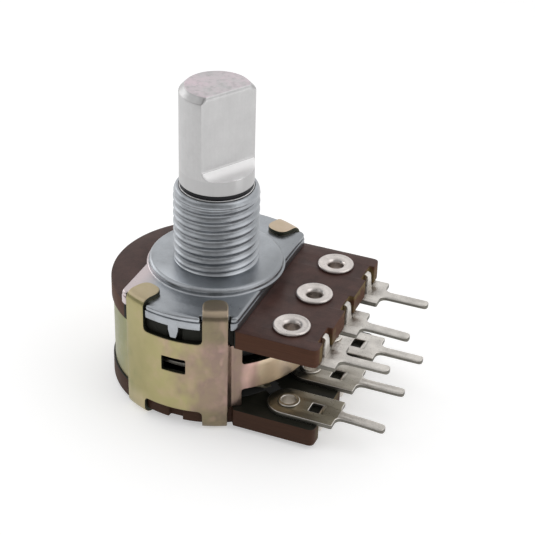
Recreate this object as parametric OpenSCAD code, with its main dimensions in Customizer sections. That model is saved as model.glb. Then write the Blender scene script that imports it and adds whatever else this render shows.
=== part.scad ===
// Dual-gang rotary potentiometer with a threaded bushing and a flatted shaft.
// Sizes in millimetres. The origin is on the shaft axis at the mounting face,
// the top of the raised disc. +Z points out of the bushing, +X to the terminals.

/* [Shaft] */
// Shaft diameter
shaft_d = 6.0; // [5.8:0.05:6.0]
// Height of the shaft's tip above the mounting face
shaft_length = 15.1; // [12:0.1:25]
// Chamfer round the shaft's tip
shaft_chamfer = 0.5; // [0.2:0.05:0.8]
// Distance from the shaft's axis to the flat
flat_distance = 1.5; // [1.3:0.05:2.2]
// Length of the flat, from the tip to where its end starts to curve out
flat_length = 6.1; // [4:0.1:6.5]
// Radius of the cutter that leaves the curved end of the flat
flat_cutter_r = 0.8; // [0.4:0.1:1]
// Direction that the flat faces at the anticlockwise stop, from +X
flat_angle = -30; // [-32:0.5:-30]
// Step in radius from the shaft down to the drive section inside the rotors
drive_step = 0.6; // [0.5:0.05:0.8]
// Depth of the two flats on the drive section
drive_flat_depth = 0.5; // [0.3:0.05:0.7]
// How far the riveted head that holds the rotors reaches out past the drive section
rivet_lip = 0.4; // [0.2:0.05:0.7]
// Height of that head
rivet_h = 0.3; // [0.2:0.05:0.4]
// How far the head's upper face lies inside the rear wafer's outer face
rivet_recess = 0.5; // [0.45:0.05:1]

/* [Retaining ring] */
// Depth of the ring's groove in the shaft
groove_depth = 0.45; // [0.3:0.05:0.6]
// How far the ring lies below the shaft's surface
clip_inset = 0.05; // [0.03:0.01:0.15]
// Thickness of the ring
clip_t = 0.38; // [0.3:0.02:0.5]
// Opening angle of the ring's gap
clip_gap = 50; // [30:1:70]

/* [Bushing] */
// Outside diameter of the bushing, where the M7 thread is
bushing_d = 6.96; // [6.9:0.02:7]
// Height of the bushing above the mounting face
bushing_h = 6.5; // [6:0.1:7.5]
// Height of the rounded shoulder at its end
shoulder_h = 0.8; // [0.5:0.05:1]
// Width of the rim between the bore and the shoulder
rim_w = 0.1; // [0.06:0.01:0.16]
// Distance between the thread's crests
thread_pitch = 0.75; // [0.7:0.05:1]
// Depth of the thread
thread_depth = 0.2; // [0.1:0.02:0.26]
// Width of the flat on a crest
thread_crest = 0.12; // [0.06:0.02:0.2]
// Height of the plain foot below the first groove
thread_start = 0.48; // [0.3:0.02:0.8]
// Radial clearance of the shaft in the bushing and of the rotors on the shaft
running_gap = 0.04; // [0.02:0.01:0.08]
// Radius of the raised disc under the bushing
disc_r = 5.48; // [5.2:0.02:5.6]
// Height of the raised disc
disc_h = 0.6; // [0.5:0.05:0.8]
// Rounding of the disc's top edge
disc_edge = 0.15; // [0.1:0.05:0.3]

/* [Mounting plate] */
// Half of the plate's width between its straight sides
plate_half_w = 5.05; // [4.9:0.05:5.2]
// Thickness of the plate
plate_t = 1.1; // [1:0.05:1.3]
// Rounding of the plate's corners
plate_corner = 0.45; // [0.2:0.05:0.5]
// Height of the mould's parting line above the plate's underside
parting_h = 0.65; // [0.4:0.05:0.8]
// Step in the plate's wall at the parting line
parting_step = 0.05; // [0.03:0.01:0.08]
// Clearance on each side of a tab in its notch and behind it
tab_clearance = 0.12; // [0.08:0.02:0.2]
// Angle of the locating pips, from the Y axis
pip_angle = 1.25; // [0:0.25:3]
// Width of a pip where it leaves the plate
pip_w = 0.86; // [0.7:0.02:0.95]
// Width of a pip at its end
pip_tip_w = 0.5; // [0.4:0.02:0.6]
// How far a pip reaches below the plate
pip_h = 1.05; // [0.8:0.05:1.3]
// Thickness of a pip along the radius
pip_t = 0.35; // [0.3:0.05:0.4]

/* [End stop] */
// Half angle of the fixed stop
stop_half_angle = 20; // [19:0.5:20]
// Half angle of the rotor's finger
finger_half_angle = 9.5; // [8:0.5:9.5]
// Clearance of the stop and the finger from the wafer's hole
stop_outer_gap = 0.2; // [0.15:0.05:0.3]
// Clearance of the fixed stop from the rotor's hub
stop_inner_gap = 0.15; // [0.1:0.05:0.25]
// Width of the stop, along the radius
stop_w = 0.75; // [0.6:0.05:1]
// Height of the fixed stop below the plate
stop_h = 1.5; // [1.4:0.1:1.6]
// How far the finger reaches up past the stop's lower edge
finger_lap = 1.2; // [0.8:0.1:1.2]

/* [Wafers] */
// How far the wafers stand out past the housing's plain wall
wafer_proud = 0.15; // [0.1:0.05:0.2]
// Thickness of each wafer
wafer_t = 1.6; // [1.4:0.1:1.6]
// Clearance between a wafer's recess and the housing's long lips
lip_gap = 0.05; // [0.02:0.01:0.1]
// Width of the terminal tongue outside the outer eyelets' centres, on each side
tongue_margin = 2.4; // [2.2:0.05:2.6]
// Reach of the tongue from the eyelets' centres
tongue_reach = 3.02; // [2.9:0.02:3.2]
// Rounding of the tongue's corners
tongue_corner = 0.5; // [0.2:0.1:0.8]
// Width of the notches in the tongue's end
end_notch_w = 2.2; // [2:0.1:2.4]
// Clearance between a terminal's tang and the floor of its notch
notch_gap = 0.04; // [0.02:0.01:0.1]
// Width of the notch for a pip
pip_notch_w = 1.2; // [1.1:0.05:1.4]
// Depth of the notch for a pip, from the wafer's radius
pip_notch_depth = 0.6; // [0.55:0.05:0.8]

/* [Housing ring] */
// Distance between the two wafers
housing_h = 5.9; // [5.7:0.1:6.2]
// How far the long lips stand out past the mounting plate's round ends
lip_proud = 0.05; // [0:0.01:0.08]
// Thickness of the ring's sheet
sheet_t = 0.4; // [0.35:0.01:0.4]
// Half angle of each long lip that laps over the wafers' edges, from the Y axis
lip_half_angle = 32; // [31:0.5:32]
// How far a lip laps over a wafer's edge
lip_lap = 0.3; // [0.2:0.05:0.5]
// Width of the step between a lip and the rest of the ring, in degrees
joggle_angle = 2; // [1.5:0.5:3]
// Half angle of the cut-away beside the terminals, from +X
mouth_half_angle = 51.8; // [51:0.2:53]
// Distance from the front wafer down to the band that closes the ring
band_drop = 1.9; // [1.8:0.05:2]
// Height of that band
band_h = 2.45; // [2.3:0.05:2.5]
// Width of the window in each lip
window_w = 2.0; // [1.6:0.1:2.2]
// Distance from the front wafer down to the window
window_drop = 1.36; // [1.2:0.02:1.5]
// Height of the window
window_h = 1.3; // [1:0.1:1.5]

/* [Folded tabs] */
// Angle of the tabs on each side of the Y axis
tab_angle = 23.4; // [23:0.2:24]
// Width of a tab
tab_w = 2.0; // [1.8:0.05:2.1]
// Reach of a folded tab inwards from the lip's outer face
tab_reach = 2.3; // [1.8:0.1:2.4]
// How far a tab's round end differs from a full half round
tab_end_flat = 0.1; // [0.05:0.05:0.5]
// Outer radius of a tab's fold
tab_bend_r = 0.5; // [0.42:0.02:0.6]
// Fillet at a tab's root
tab_fillet = 0.35; // [0.2:0.05:0.6]

/* [Terminals] */
// Distance between terminals
pitch = 5.0; // [4.9:0.05:5.1]
// Thickness of the terminals
terminal_t = 0.4; // [0.3:0.02:0.5]
// Width of the part round an eyelet
lug_w = 3.4; // [3:0.1:3.6]
// Where that part ends, from the eyelet's centre
lug_reach = 4.25; // [4:0.05:4.5]
// Rounding of its outer corners
lug_corner = 0.12; // [0.1:0.02:0.4]
// Width of a pin
pin_w = 0.98; // [0.9:0.02:1.1]
// Length of a pin
pin_length = 3.87; // [2.5:0.01:8]
// Fillet at a pin's root
pin_fillet = 0.5; // [0.2:0.05:0.6]
// Rounding of a pin's end
pin_tip_r = 0.4; // [0.2:0.05:0.45]
// Side of the square hole that the tang leaves
tang_hole = 1.15; // [1:0.05:1.2]
// How far the tang's outer face lies inside the tongue's end
tang_inset = 0.0; // [0:0.01:0.1]
// Width of the tang that grips the wafer's end
tang_w = 0.72; // [0.6:0.02:0.9]

/* [Eyelets] */
// How far the eyelets' centres lie outside the wafer's round edge
eyelet_offset = 0.05; // [-0.05:0.05:0.15]
// Radius of the hole through an eyelet
eyelet_hole_r = 0.6; // [0.5:0.05:0.65]
// Outer radius of an eyelet's barrel
eyelet_barrel_r = 0.8; // [0.75:0.05:0.9]
// Clearance round the barrel
eyelet_gap = 0.02; // [0.01:0.01:0.05]
// Radius of the rolled head on the wafer's outer face
eyelet_head_r = 1.5; // [1.2:0.05:1.55]
// Height of the rolled head
eyelet_head_h = 0.3; // [0.2:0.02:0.32]
// Radius of the flange on the terminal
eyelet_flange_r = 1.1; // [1:0.05:1.3]
// Height of the flange
eyelet_flange_h = 0.25; // [0.15:0.01:0.3]

/* [Tracks and rotors] */
// Thickness of the printed tracks
track_t = 0.04; // [0.03:0.01:0.06]
// Distance of the resistive track from the housing's wall
track_inset = 0.7; // [0.65:0.02:1.1]
// Distance between the resistive track and the collector track
track_spacing = 0.5; // [0.4:0.05:0.7]
// Width of the resistive track
track_w = 0.9; // [0.8:0.05:0.95]
// Half angle of the gap between the track's ends
track_gap_half = 21; // [18:0.5:22]
// Distance of the collector track from the wafer's hole
collector_inset = 0.25; // [0.2:0.05:0.35]
// Width of the collector track
collector_w = 0.65; // [0.6:0.05:0.7]
// Width of the leads from the tracks to the terminals
lead_w = 1.2; // [1:0.1:1.4]
// Clearance of the rotor discs inside the housing's wall
rotor_gap = 0.6; // [0.4:0.05:0.8]
// Thickness of a rotor disc
rotor_t = 0.9; // [0.7:0.05:1]
// Distance from a wafer to its rotor disc
rotor_drop = 0.95; // [0.9:0.05:1]
// Wall of a rotor's hub round the drive section
hub_wall = 1.5; // [1.4:0.05:1.8]
// How far the front rotor's hub reaches below its disc, down to the rear hub
hub_stub = 0.12; // [0.1:0.02:0.3]
// Axial play of the rotors and of the retaining ring
end_play = 0.04; // [0.02:0.01:0.06]
// Thickness of the wiper springs
wiper_t = 0.12; // [0.1:0.01:0.15]
// Width of a wiper finger, along the radius
wiper_w = 0.45; // [0.35:0.05:0.5]
// Length of a wiper's foot
wiper_foot = 1.2; // [1:0.1:1.5]
// Length of its rising arm, seen from above
wiper_arm = 1.5; // [1.2:0.1:2]
// Length of its contact pad
wiper_pad = 0.6; // [0.4:0.1:0.8]
// Angle from the shaft's flat back to the middle of the wiper
wiper_angle = 8; // [5:1:12]
// Thickness of the shield plate between the gangs
shield_t = 0.3; // [0.2:0.05:0.35]
// Distance from the front wafer down to the shield plate
shield_drop = 2.2; // [2.15:0.05:2.25]
// Clearance of the shield plate round the hub
shield_gap = 0.5; // [0.3:0.05:0.8]

/* [Hidden] */

$fn = 96;
small_fn = 32;
// Length of a cut that passes right through, reach of a cut past an edge, and depth that
// two forms of one piece share
through = 40;
past = 1;
sink = 0.1;
// Air under a wiper's pad, rise of an eyelet's flare, and how far a track's lead reaches under
// the track, in degrees, and stays inside the tongue's edge
contact_gap = 0.02;
flare_rise = 0.05;
lead_overlap = 6;
lead_margin = 0.5;
// How much further than the lips the wafers' recesses run, in degrees
recess_margin = 1;
shaft_r = shaft_d / 2;
drive_r = shaft_r - drive_step;
drive_flat = drive_r - drive_flat_depth;
rivet_r = drive_r + rivet_lip;
groove_r = shaft_r - groove_depth;
clip_r = shaft_r - clip_inset;
bushing_r = bushing_d / 2;
bore_r = shaft_r + running_gap;
rim_r = bore_r + rim_w;
// Radii from the drive section outwards: hub, stop, wafer's hole, tracks and housing
hub_r = drive_r + hub_wall;
stop_inner_r = hub_r + stop_inner_gap;
stop_outer_r = stop_inner_r + stop_w;
wafer_hole_r = stop_outer_r + stop_outer_gap;
collector_inner_r = wafer_hole_r + collector_inset;
collector_outer_r = collector_inner_r + collector_w;
track_inner_r = collector_outer_r + track_spacing;
track_outer_r = track_inner_r + track_w;
ring_inner_r = track_outer_r + track_inset;
ring_r = ring_inner_r + sheet_t;
lip_r = ring_r + sheet_t;
plate_r = lip_r - lip_proud;
notch_r = ring_r - tab_clearance;
tab_end_r = lip_r - tab_reach;
wafer_r = ring_r + wafer_proud;
recess_r = ring_r - lip_gap;
rotor_r = ring_inner_r - rotor_gap;
shield_hole_r = hub_r + shield_gap;
// Places along the terminals
eyelet_x = wafer_r + eyelet_offset;
tongue_x = eyelet_x + tongue_reach;
tongue_half_w = pitch + tongue_margin;
tang_x = tongue_x - tang_inset;
end_notch_x = tang_x - terminal_t - notch_gap;
tang_hole_x = tang_x - tang_hole / 2;
lug_x = eyelet_x + lug_reach;
pin_x = lug_x + pin_length;
// Levels from the top down
plate_top = -disc_h;
plate_bottom = plate_top - plate_t;
wafer_bottom = plate_bottom - wafer_t;
rear_top = wafer_bottom - housing_h;
rear_bottom = rear_top - wafer_t;
mid_z = (wafer_bottom + rear_top) / 2;
hub_top = plate_bottom - end_play;
disc_top = wafer_bottom - rotor_drop;
disc_bottom = disc_top - rotor_t;
joint_z = disc_bottom - hub_stub;
rivet_top = rear_bottom + rivet_recess;
lip_top = wafer_bottom + lip_lap;
lip_bottom = rear_top - lip_lap;
terminal_bottom = wafer_bottom - terminal_t;
pad_top = wafer_bottom - track_t - contact_gap;
zinc = [0.60, 0.62, 0.66];
satin = [0.77, 0.76, 0.75];
blackened = [0.10, 0.10, 0.11];
phenolic = [0.33, 0.25, 0.23];
chromate = [0.66, 0.62, 0.45];
tinned = [0.80, 0.77, 0.74];
carbon = [0.07, 0.07, 0.07];
moulding = [0.16, 0.15, 0.15];
spring_metal = [0.80, 0.72, 0.52];

// Puts a copy of the front gang's piece in the rear gang
module rear_gang() {
    translate([0, 0, 2 * mid_z]) mirror([0, 0, 1]) children();
}

// Sector of a tube between two angles
module tube_sector(inner, outer, low, high, from, to) {
    rotate([0, 0, from])
        rotate_extrude(angle = to - from)
            translate([inner, low]) square([outer - inner, high - low]);
}

// Flat wedge between two angles, for cutting plan outlines
module wedge(radius, from, to) {
    steps = ceil((to - from) / 10);
    polygon([
        [0, 0],
        for (i = [0 : steps]) let (a = from + (to - from) * i / steps) radius * [cos(a), sin(a)]
    ]);
}

// Places a child on both sides of the Y axis at the front and the back of the ring
module at_tabs() {
    for (side = [-90, 90], turn = [-tab_angle, tab_angle]) rotate([0, 0, side + turn]) children();
}

// Places a child at each pip: near -Y and near +Y
module at_pips() {
    for (side = [-1, 1]) rotate([0, 0, side * (90 - pip_angle)]) children();
}

// Points of one groove of the thread, from the crest below it to the crest above it
function thread_groove(low) = [
    [bushing_r, low],
    [bushing_r - thread_depth, low + (thread_pitch - thread_crest) / 2],
    [bushing_r, low + thread_pitch - thread_crest]
];

// Outline of the bushing: a core inside the plate, the raised disc, the thread and the shoulder
module bushing_profile() {
    core_r = plate_half_w - plate_corner;
    thread_end = bushing_h - shoulder_h;
    grooves = floor((thread_end + thread_crest - thread_start) / thread_pitch);
    polygon([
        [0, plate_bottom],
        [core_r, plate_bottom],
        [core_r, plate_top],
        [disc_r, plate_top],
        for (t = [0 : 30 : 90]) [disc_r + disc_edge * (cos(t) - 1), disc_edge * (sin(t) - 1)],
        [bushing_r, 0],
        for (i = [0 : grooves - 1]) each thread_groove(thread_start + i * thread_pitch),
        for (t = [0 : 10 : 90])
            [rim_r + (bushing_r - rim_r) * cos(t), thread_end + shoulder_h * sin(t)],
        [0, bushing_h]
    ]);
}

module plate_outline() {
    offset(r = plate_corner, $fn = small_fn) offset(delta = -plate_corner) difference() {
        intersection() {
            circle(plate_r);
            square([2 * plate_half_w, through], center = true);
        }
        at_tabs()
            translate([notch_r, -tab_w / 2 - tab_clearance]) square([past, tab_w + 2 * tab_clearance]);
    }
}

// Tapered prong that hangs from the plate's edge into the wafer's notch
module pip() {
    translate([plate_r - pip_t, 0, 0]) rotate([90, 0, 90]) linear_extrude(pip_t)
        polygon([
            [-pip_w / 2, plate_bottom + parting_h / 2],
            [-pip_w / 2, plate_bottom - pip_h / 3],
            [-pip_tip_w / 2, plate_bottom - pip_h],
            [pip_tip_w / 2, plate_bottom - pip_h],
            [pip_w / 2, plate_bottom - pip_h / 3],
            [pip_w / 2, plate_bottom + parting_h / 2]
        ]);
}

module front_bushing() {
    color(zinc) difference() {
        union() {
            rotate_extrude() bushing_profile();
            translate([0, 0, plate_bottom]) linear_extrude(parting_h) plate_outline();
            translate([0, 0, plate_bottom + parting_h])
                linear_extrude(plate_t - parting_h) offset(delta = -parting_step) plate_outline();
            at_pips() pip();
            tube_sector(stop_inner_r, stop_outer_r, plate_bottom - stop_h, plate_bottom + sink,
                        -stop_half_angle, stop_half_angle);
        }
        translate([0, 0, -through / 2]) cylinder(r = bore_r, h = through);
    }
}

// Region in the radial plane that the cutter takes away for the flat
module flat_cut() {
    flat_end = shaft_length - flat_length;
    centre = flat_distance + flat_cutter_r;
    translate([flat_distance, flat_end]) square([shaft_r, flat_length + past]);
    translate([centre, flat_end - flat_cutter_r]) square([shaft_r, flat_cutter_r + past]);
    translate([centre, flat_end]) circle(flat_cutter_r);
}

module drive_section(radius, half_flat, low, high) {
    intersection() {
        translate([0, 0, low]) cylinder(r = radius, h = high - low);
        rotate([0, 0, flat_angle]) translate([-half_flat, -radius - past, low])
            cube([2 * half_flat, 2 * (radius + past), high - low]);
    }
}

module shaft() {
    groove_low = bushing_h + end_play;
    color(satin) {
        difference() {
            rotate_extrude() polygon([
                [0, hub_top],
                [shaft_r, hub_top],
                [shaft_r, groove_low],
                [groove_r, groove_low],
                [groove_r, groove_low + clip_t],
                [shaft_r, groove_low + clip_t],
                [shaft_r, shaft_length - shaft_chamfer],
                [shaft_r - shaft_chamfer, shaft_length],
                [0, shaft_length]
            ]);
            rotate([90, 0, flat_angle]) linear_extrude(3 * shaft_r, center = true) flat_cut();
        }
        drive_section(drive_r, drive_flat, rivet_top, hub_top + sink);
        translate([0, 0, rivet_top - rivet_h]) cylinder(r = rivet_r, h = rivet_h);
    }
}

module shaft_clip() {
    low = bushing_h + end_play;
    color(blackened)
        tube_sector(groove_r, clip_r, low, low + clip_t, 90 + clip_gap / 2, 450 - clip_gap / 2);
}

module wafer_outline() {
    difference() {
        union() {
            circle(wafer_r);
            translate([0, -tongue_half_w]) square([tongue_x - tongue_corner, 2 * tongue_half_w]);
            for (side = [-1, 1])
                translate([tongue_x - tongue_corner, side * (tongue_half_w - tongue_corner)])
                    circle(tongue_corner, $fn = small_fn);
            translate([0, tongue_corner - tongue_half_w])
                square([tongue_x, 2 * (tongue_half_w - tongue_corner)]);
        }
        for (side = [-90, 90]) difference() {
            wedge(2 * wafer_r, side - lip_half_angle - recess_margin, side + lip_half_angle + recess_margin);
            circle(recess_r);
        }
        circle(wafer_hole_r);
        at_pips() translate([wafer_r - pip_notch_depth, -pip_notch_w / 2]) square([past, pip_notch_w]);
        for (i = [-1 : 1]) {
            translate([end_notch_x, i * pitch - end_notch_w / 2]) square([past, end_notch_w]);
            translate([eyelet_x, i * pitch]) circle(eyelet_barrel_r + eyelet_gap, $fn = small_fn);
        }
    }
}

module wafer() {
    color(phenolic) translate([0, 0, wafer_bottom]) linear_extrude(wafer_t) wafer_outline();
}

// Half of an upright oblong that starts at the tabs' ends, with its two outer corners rounded
module c_outline(start_r, outer, low, high, corner) {
    translate([start_r, low]) square([outer - corner - start_r, high - low]);
    translate([start_r, low + corner]) square([outer - start_r, high - low - 2 * corner]);
    for (z = [low + corner, high - corner]) translate([outer - corner, z]) circle(corner, $fn = small_fn);
}

// Radial section through a lip and its folded tabs, front and rear
module lip_section() {
    difference() {
        c_outline(tab_end_r, lip_r, rear_bottom - sheet_t, plate_top + sheet_t, tab_bend_r);
        c_outline(tab_end_r - past, ring_r, rear_bottom, plate_top, tab_bend_r - sheet_t);
    }
}

// Plan of a folded tab: straight sides and a rounded end
module tab_plan() {
    round_end = tab_w / 2 - tab_end_flat;
    reach = tab_reach + past;
    translate([tab_end_r + round_end, -tab_w / 2]) square([reach - round_end, tab_w]);
    translate([tab_end_r, -tab_w / 2 + round_end]) square([reach, tab_w - 2 * round_end]);
    for (side = [-1, 1])
        translate([tab_end_r + round_end, side * (tab_w / 2 - round_end)]) circle(round_end, $fn = small_fn);
}

// Fillets on both sides of a tab's root, seen along the radius
module root_fillets(level) {
    difference() {
        translate([-tab_w / 2 - tab_fillet, level - sink])
            square([tab_w + 2 * tab_fillet, tab_fillet + sink]);
        for (side = [-1, 1])
            translate([side * (tab_w / 2 + tab_fillet), level + tab_fillet]) circle(tab_fillet, $fn = small_fn);
    }
}

// Space that a tab fills above its root, as a prism to trim the bent sheet with
module tab_space(level) {
    tab_h = plate_top + sheet_t + past - level;
    translate([0, 0, level - sink]) linear_extrude(tab_h) tab_plan();
    translate([ring_inner_r, 0, 0]) rotate([90, 0, 90]) linear_extrude(lip_r + past - ring_inner_r)
        root_fillets(level);
}

module lip_wedges(half_angle) {
    for (side = [-90, 90]) wedge(2 * lip_r, side - half_angle, side + half_angle);
}

// The two long lips with their folded tabs, trimmed from one bent section
module lips() {
    difference() {
        intersection() {
            rotate_extrude() lip_section();
            union() {
                translate([0, 0, lip_bottom]) linear_extrude(lip_top - lip_bottom)
                    lip_wedges(lip_half_angle - joggle_angle);
                at_tabs() tab_space(lip_top);
                rear_gang() at_tabs() tab_space(lip_top);
            }
        }
        at_pips() translate([ring_inner_r, -window_w / 2, wafer_bottom - window_drop - window_h])
            cube([lip_r + past - ring_inner_r, window_w, window_h]);
    }
}

// Plan of the sheet between two radii, kept only inside a range of wedges
module wall_plan(inner, outer) {
    intersection() {
        difference() {
            circle(outer);
            circle(inner);
        }
        children();
    }
}

module housing_ring() {
    color(chromate) {
        lips();
        // Steps that join the lips to the plain wall
        translate([0, 0, rear_top]) linear_extrude(housing_h) wall_plan(ring_inner_r, lip_r)
            for (side = [-90, 90], turn = [-lip_half_angle, lip_half_angle - joggle_angle])
                wedge(2 * lip_r, side + turn, side + turn + joggle_angle);
        // Plain wall: one long stretch away from the terminals and two short ones
        translate([0, 0, rear_top]) linear_extrude(housing_h) wall_plan(ring_inner_r, ring_r) {
            wedge(2 * lip_r, 90 + lip_half_angle, 270 - lip_half_angle);
            wedge(2 * lip_r, mouth_half_angle, 90 - lip_half_angle);
            wedge(2 * lip_r, lip_half_angle - 90, -mouth_half_angle);
        }
        translate([0, 0, wafer_bottom - band_drop - band_h]) linear_extrude(band_h)
            wall_plan(ring_inner_r, ring_r) wedge(2 * lip_r, -mouth_half_angle, mouth_half_angle);
    }
}

module shield_plate() {
    color(tinned) translate([0, 0, wafer_bottom - shield_drop - shield_t]) difference() {
        cylinder(r = ring_inner_r, h = shield_t);
        translate([0, 0, -past]) cylinder(r = shield_hole_r, h = shield_t + 2 * past);
    }
}

module terminal_plan() {
    difference() {
        union() {
            translate([eyelet_x, 0]) circle(lug_w / 2);
            translate([eyelet_x, -lug_w / 2]) square([lug_x - lug_corner - eyelet_x, lug_w]);
            translate([eyelet_x, lug_corner - lug_w / 2]) square([lug_x - eyelet_x, lug_w - 2 * lug_corner]);
            for (side = [-1, 1])
                translate([lug_x - lug_corner, side * (lug_w / 2 - lug_corner)])
                    circle(lug_corner, $fn = small_fn);
            pin_fillets();
            translate([lug_x - past, -pin_w / 2]) square([pin_length - pin_tip_r + past, pin_w]);
            translate([lug_x, pin_tip_r - pin_w / 2]) square([pin_length, pin_w - 2 * pin_tip_r]);
            for (side = [-1, 1])
                translate([pin_x - pin_tip_r, side * (pin_w / 2 - pin_tip_r)])
                    circle(pin_tip_r, $fn = small_fn);
        }
        translate([eyelet_x, 0]) circle(eyelet_barrel_r + eyelet_gap, $fn = small_fn);
        translate([tang_hole_x - tang_hole / 2, -tang_hole / 2]) square(tang_hole);
    }
}

// Fillets on both sides of a pin's root
module pin_fillets() {
    difference() {
        translate([lug_x - sink, -pin_w / 2 - pin_fillet])
            square([pin_fillet + sink, pin_w + 2 * pin_fillet]);
        for (side = [-1, 1])
            translate([lug_x + pin_fillet, side * (pin_w / 2 + pin_fillet)])
                circle(pin_fillet, $fn = small_fn);
    }
}

// Side profile of the tang: it leaves the hole's outer edge and turns up into the wafer's notch
module tang_profile() {
    bend = terminal_t;
    centre = [tang_x, terminal_bottom + bend];
    polygon([
        [tang_x + sink, terminal_bottom],
        for (t = [270 : -10 : 180]) centre + bend * [cos(t), sin(t)],
        [tang_x - bend, plate_bottom],
        [tang_x - bend + terminal_t, plate_bottom],
        [tang_x, wafer_bottom],
        [tang_x + sink, wafer_bottom]
    ]);
}

module terminal() {
    color(tinned) {
        translate([0, 0, terminal_bottom]) linear_extrude(terminal_t) terminal_plan();
        rotate([90, 0, 0]) linear_extrude(tang_w, center = true) tang_profile();
    }
}

module eyelet() {
    head_top = plate_bottom + eyelet_head_h;
    roll = eyelet_head_h / 2;
    flange_low = terminal_bottom - eyelet_flange_h;
    color(tinned) translate([eyelet_x, 0, 0]) rotate_extrude() difference() {
        union() {
            translate([0, flange_low]) square([eyelet_barrel_r, head_top - roll - flange_low]);
            translate([0, plate_bottom]) square([eyelet_head_r - roll, eyelet_head_h]);
            translate([eyelet_head_r - roll, plate_bottom + roll]) circle(roll, $fn = small_fn);
            translate([0, flange_low]) square([eyelet_flange_r, eyelet_flange_h]);
        }
        translate([-past, -through / 2]) square([eyelet_hole_r + past, through]);
        translate([eyelet_hole_r, head_top + flare_rise]) circle(roll, $fn = small_fn);
    }
}

module track() {
    color(carbon) translate([0, 0, wafer_bottom - track_t]) linear_extrude(track_t) difference() {
        union() {
            difference() {
                circle(track_outer_r);
                circle(track_inner_r);
                wedge(track_outer_r + past, -track_gap_half, track_gap_half);
            }
            for (side = [-1, 1]) intersection() {
                track_lead(side);
                translate([0, side * tongue_half_w / 2])
                    square([through, tongue_half_w - 2 * lead_margin], center = true);
            }
        }
        for (side = [-1, 1]) translate([eyelet_x, side * pitch]) circle(lug_w / 2);
    }
}

// Strip from the end of the resistive track to the terminal beside it
module track_lead(side) {
    start_a = track_gap_half + lead_overlap;
    start_r = (track_inner_r + track_outer_r) / 2;
    start = start_r * [cos(start_a), side * sin(start_a)];
    reach = [eyelet_x, side * pitch] - start;
    translate(start) rotate(atan2(reach[1], reach[0]))
        translate([0, -lead_w / 2]) square([norm(reach), lead_w]);
}

module collector() {
    color(tinned) translate([0, 0, wafer_bottom - track_t]) linear_extrude(track_t) difference() {
        union() {
            circle(collector_outer_r);
            translate([0, -lead_w / 2]) square([eyelet_x, lead_w]);
        }
        circle(collector_inner_r);
        translate([eyelet_x, 0]) circle(lug_w / 2);
    }
}

// Rotor disc with its hub, bored to fit the shaft's drive section
module rotor(low, high) {
    color(moulding) difference() {
        union() {
            translate([0, 0, disc_bottom]) cylinder(r = rotor_r, h = rotor_t);
            translate([0, 0, low]) cylinder(r = hub_r, h = high - low);
        }
        drive_section(drive_r + running_gap / 2, drive_flat + running_gap / 2, low - past, high + past);
    }
}

module front_rotor() {
    rotor(joint_z, hub_top);
    color(moulding)
        tube_sector(hub_r - sink, stop_outer_r, disc_top - sink, plate_bottom - stop_h + finger_lap,
                    flat_angle - finger_half_angle, flat_angle + finger_half_angle);
}

// Side profile of a wiper: a foot on the rotor, a rising arm and a contact pad
module wiper_profile() {
    arm_start = -wiper_arm / 2;
    arm_end = wiper_arm / 2;
    polygon([
        [arm_start - wiper_foot, disc_top],
        [arm_start, disc_top],
        [arm_end, pad_top - wiper_t],
        [arm_end + wiper_pad, pad_top - wiper_t],
        [arm_end + wiper_pad, pad_top],
        [arm_end, pad_top],
        [arm_start, disc_top + wiper_t],
        [arm_start - wiper_foot, disc_top + wiper_t]
    ]);
}

module wiper() {
    contact_r = [(collector_inner_r + collector_outer_r) / 2, (track_inner_r + track_outer_r) / 2];
    color(spring_metal) rotate([0, 0, flat_angle - wiper_angle]) {
        for (r = contact_r)
            translate([r, 0, 0]) rotate([90, 0, 90]) linear_extrude(wiper_w, center = true) wiper_profile();
        translate([contact_r[0] - wiper_w / 2, -wiper_arm / 2 - wiper_foot, disc_top])
            cube([contact_r[1] - contact_r[0] + wiper_w, wiper_foot, wiper_t]);
    }
}

front_bushing();
shaft();
shaft_clip();
wafer();  // front_wafer
rear_gang() wafer();  // rear_wafer
housing_ring();
shield_plate();
for (i = [-1 : 1]) {
    translate([0, i * pitch, 0]) terminal();
    translate([0, i * pitch, 0]) rear_gang() terminal();
    translate([0, i * pitch, 0]) eyelet();
    translate([0, i * pitch, 0]) rear_gang() eyelet();
}
track();  // front_track
rear_gang() track();  // rear_track
collector();  // front_collector
rear_gang() collector();  // rear_collector
front_rotor();
rear_gang() rotor(2 * mid_z - joint_z, 2 * mid_z - rivet_top);  // rear_rotor
wiper();  // front_wiper
rear_gang() wiper();  // rear_wiper
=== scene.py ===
"""Looks of a dual-gang rotary potentiometer, laid out as a Blender add-on and run as a script."""

import math

import bmesh
import bpy
from bpy.props import FloatProperty, FloatVectorProperty, IntProperty, PointerProperty
from mathutils import Matrix, Vector


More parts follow.
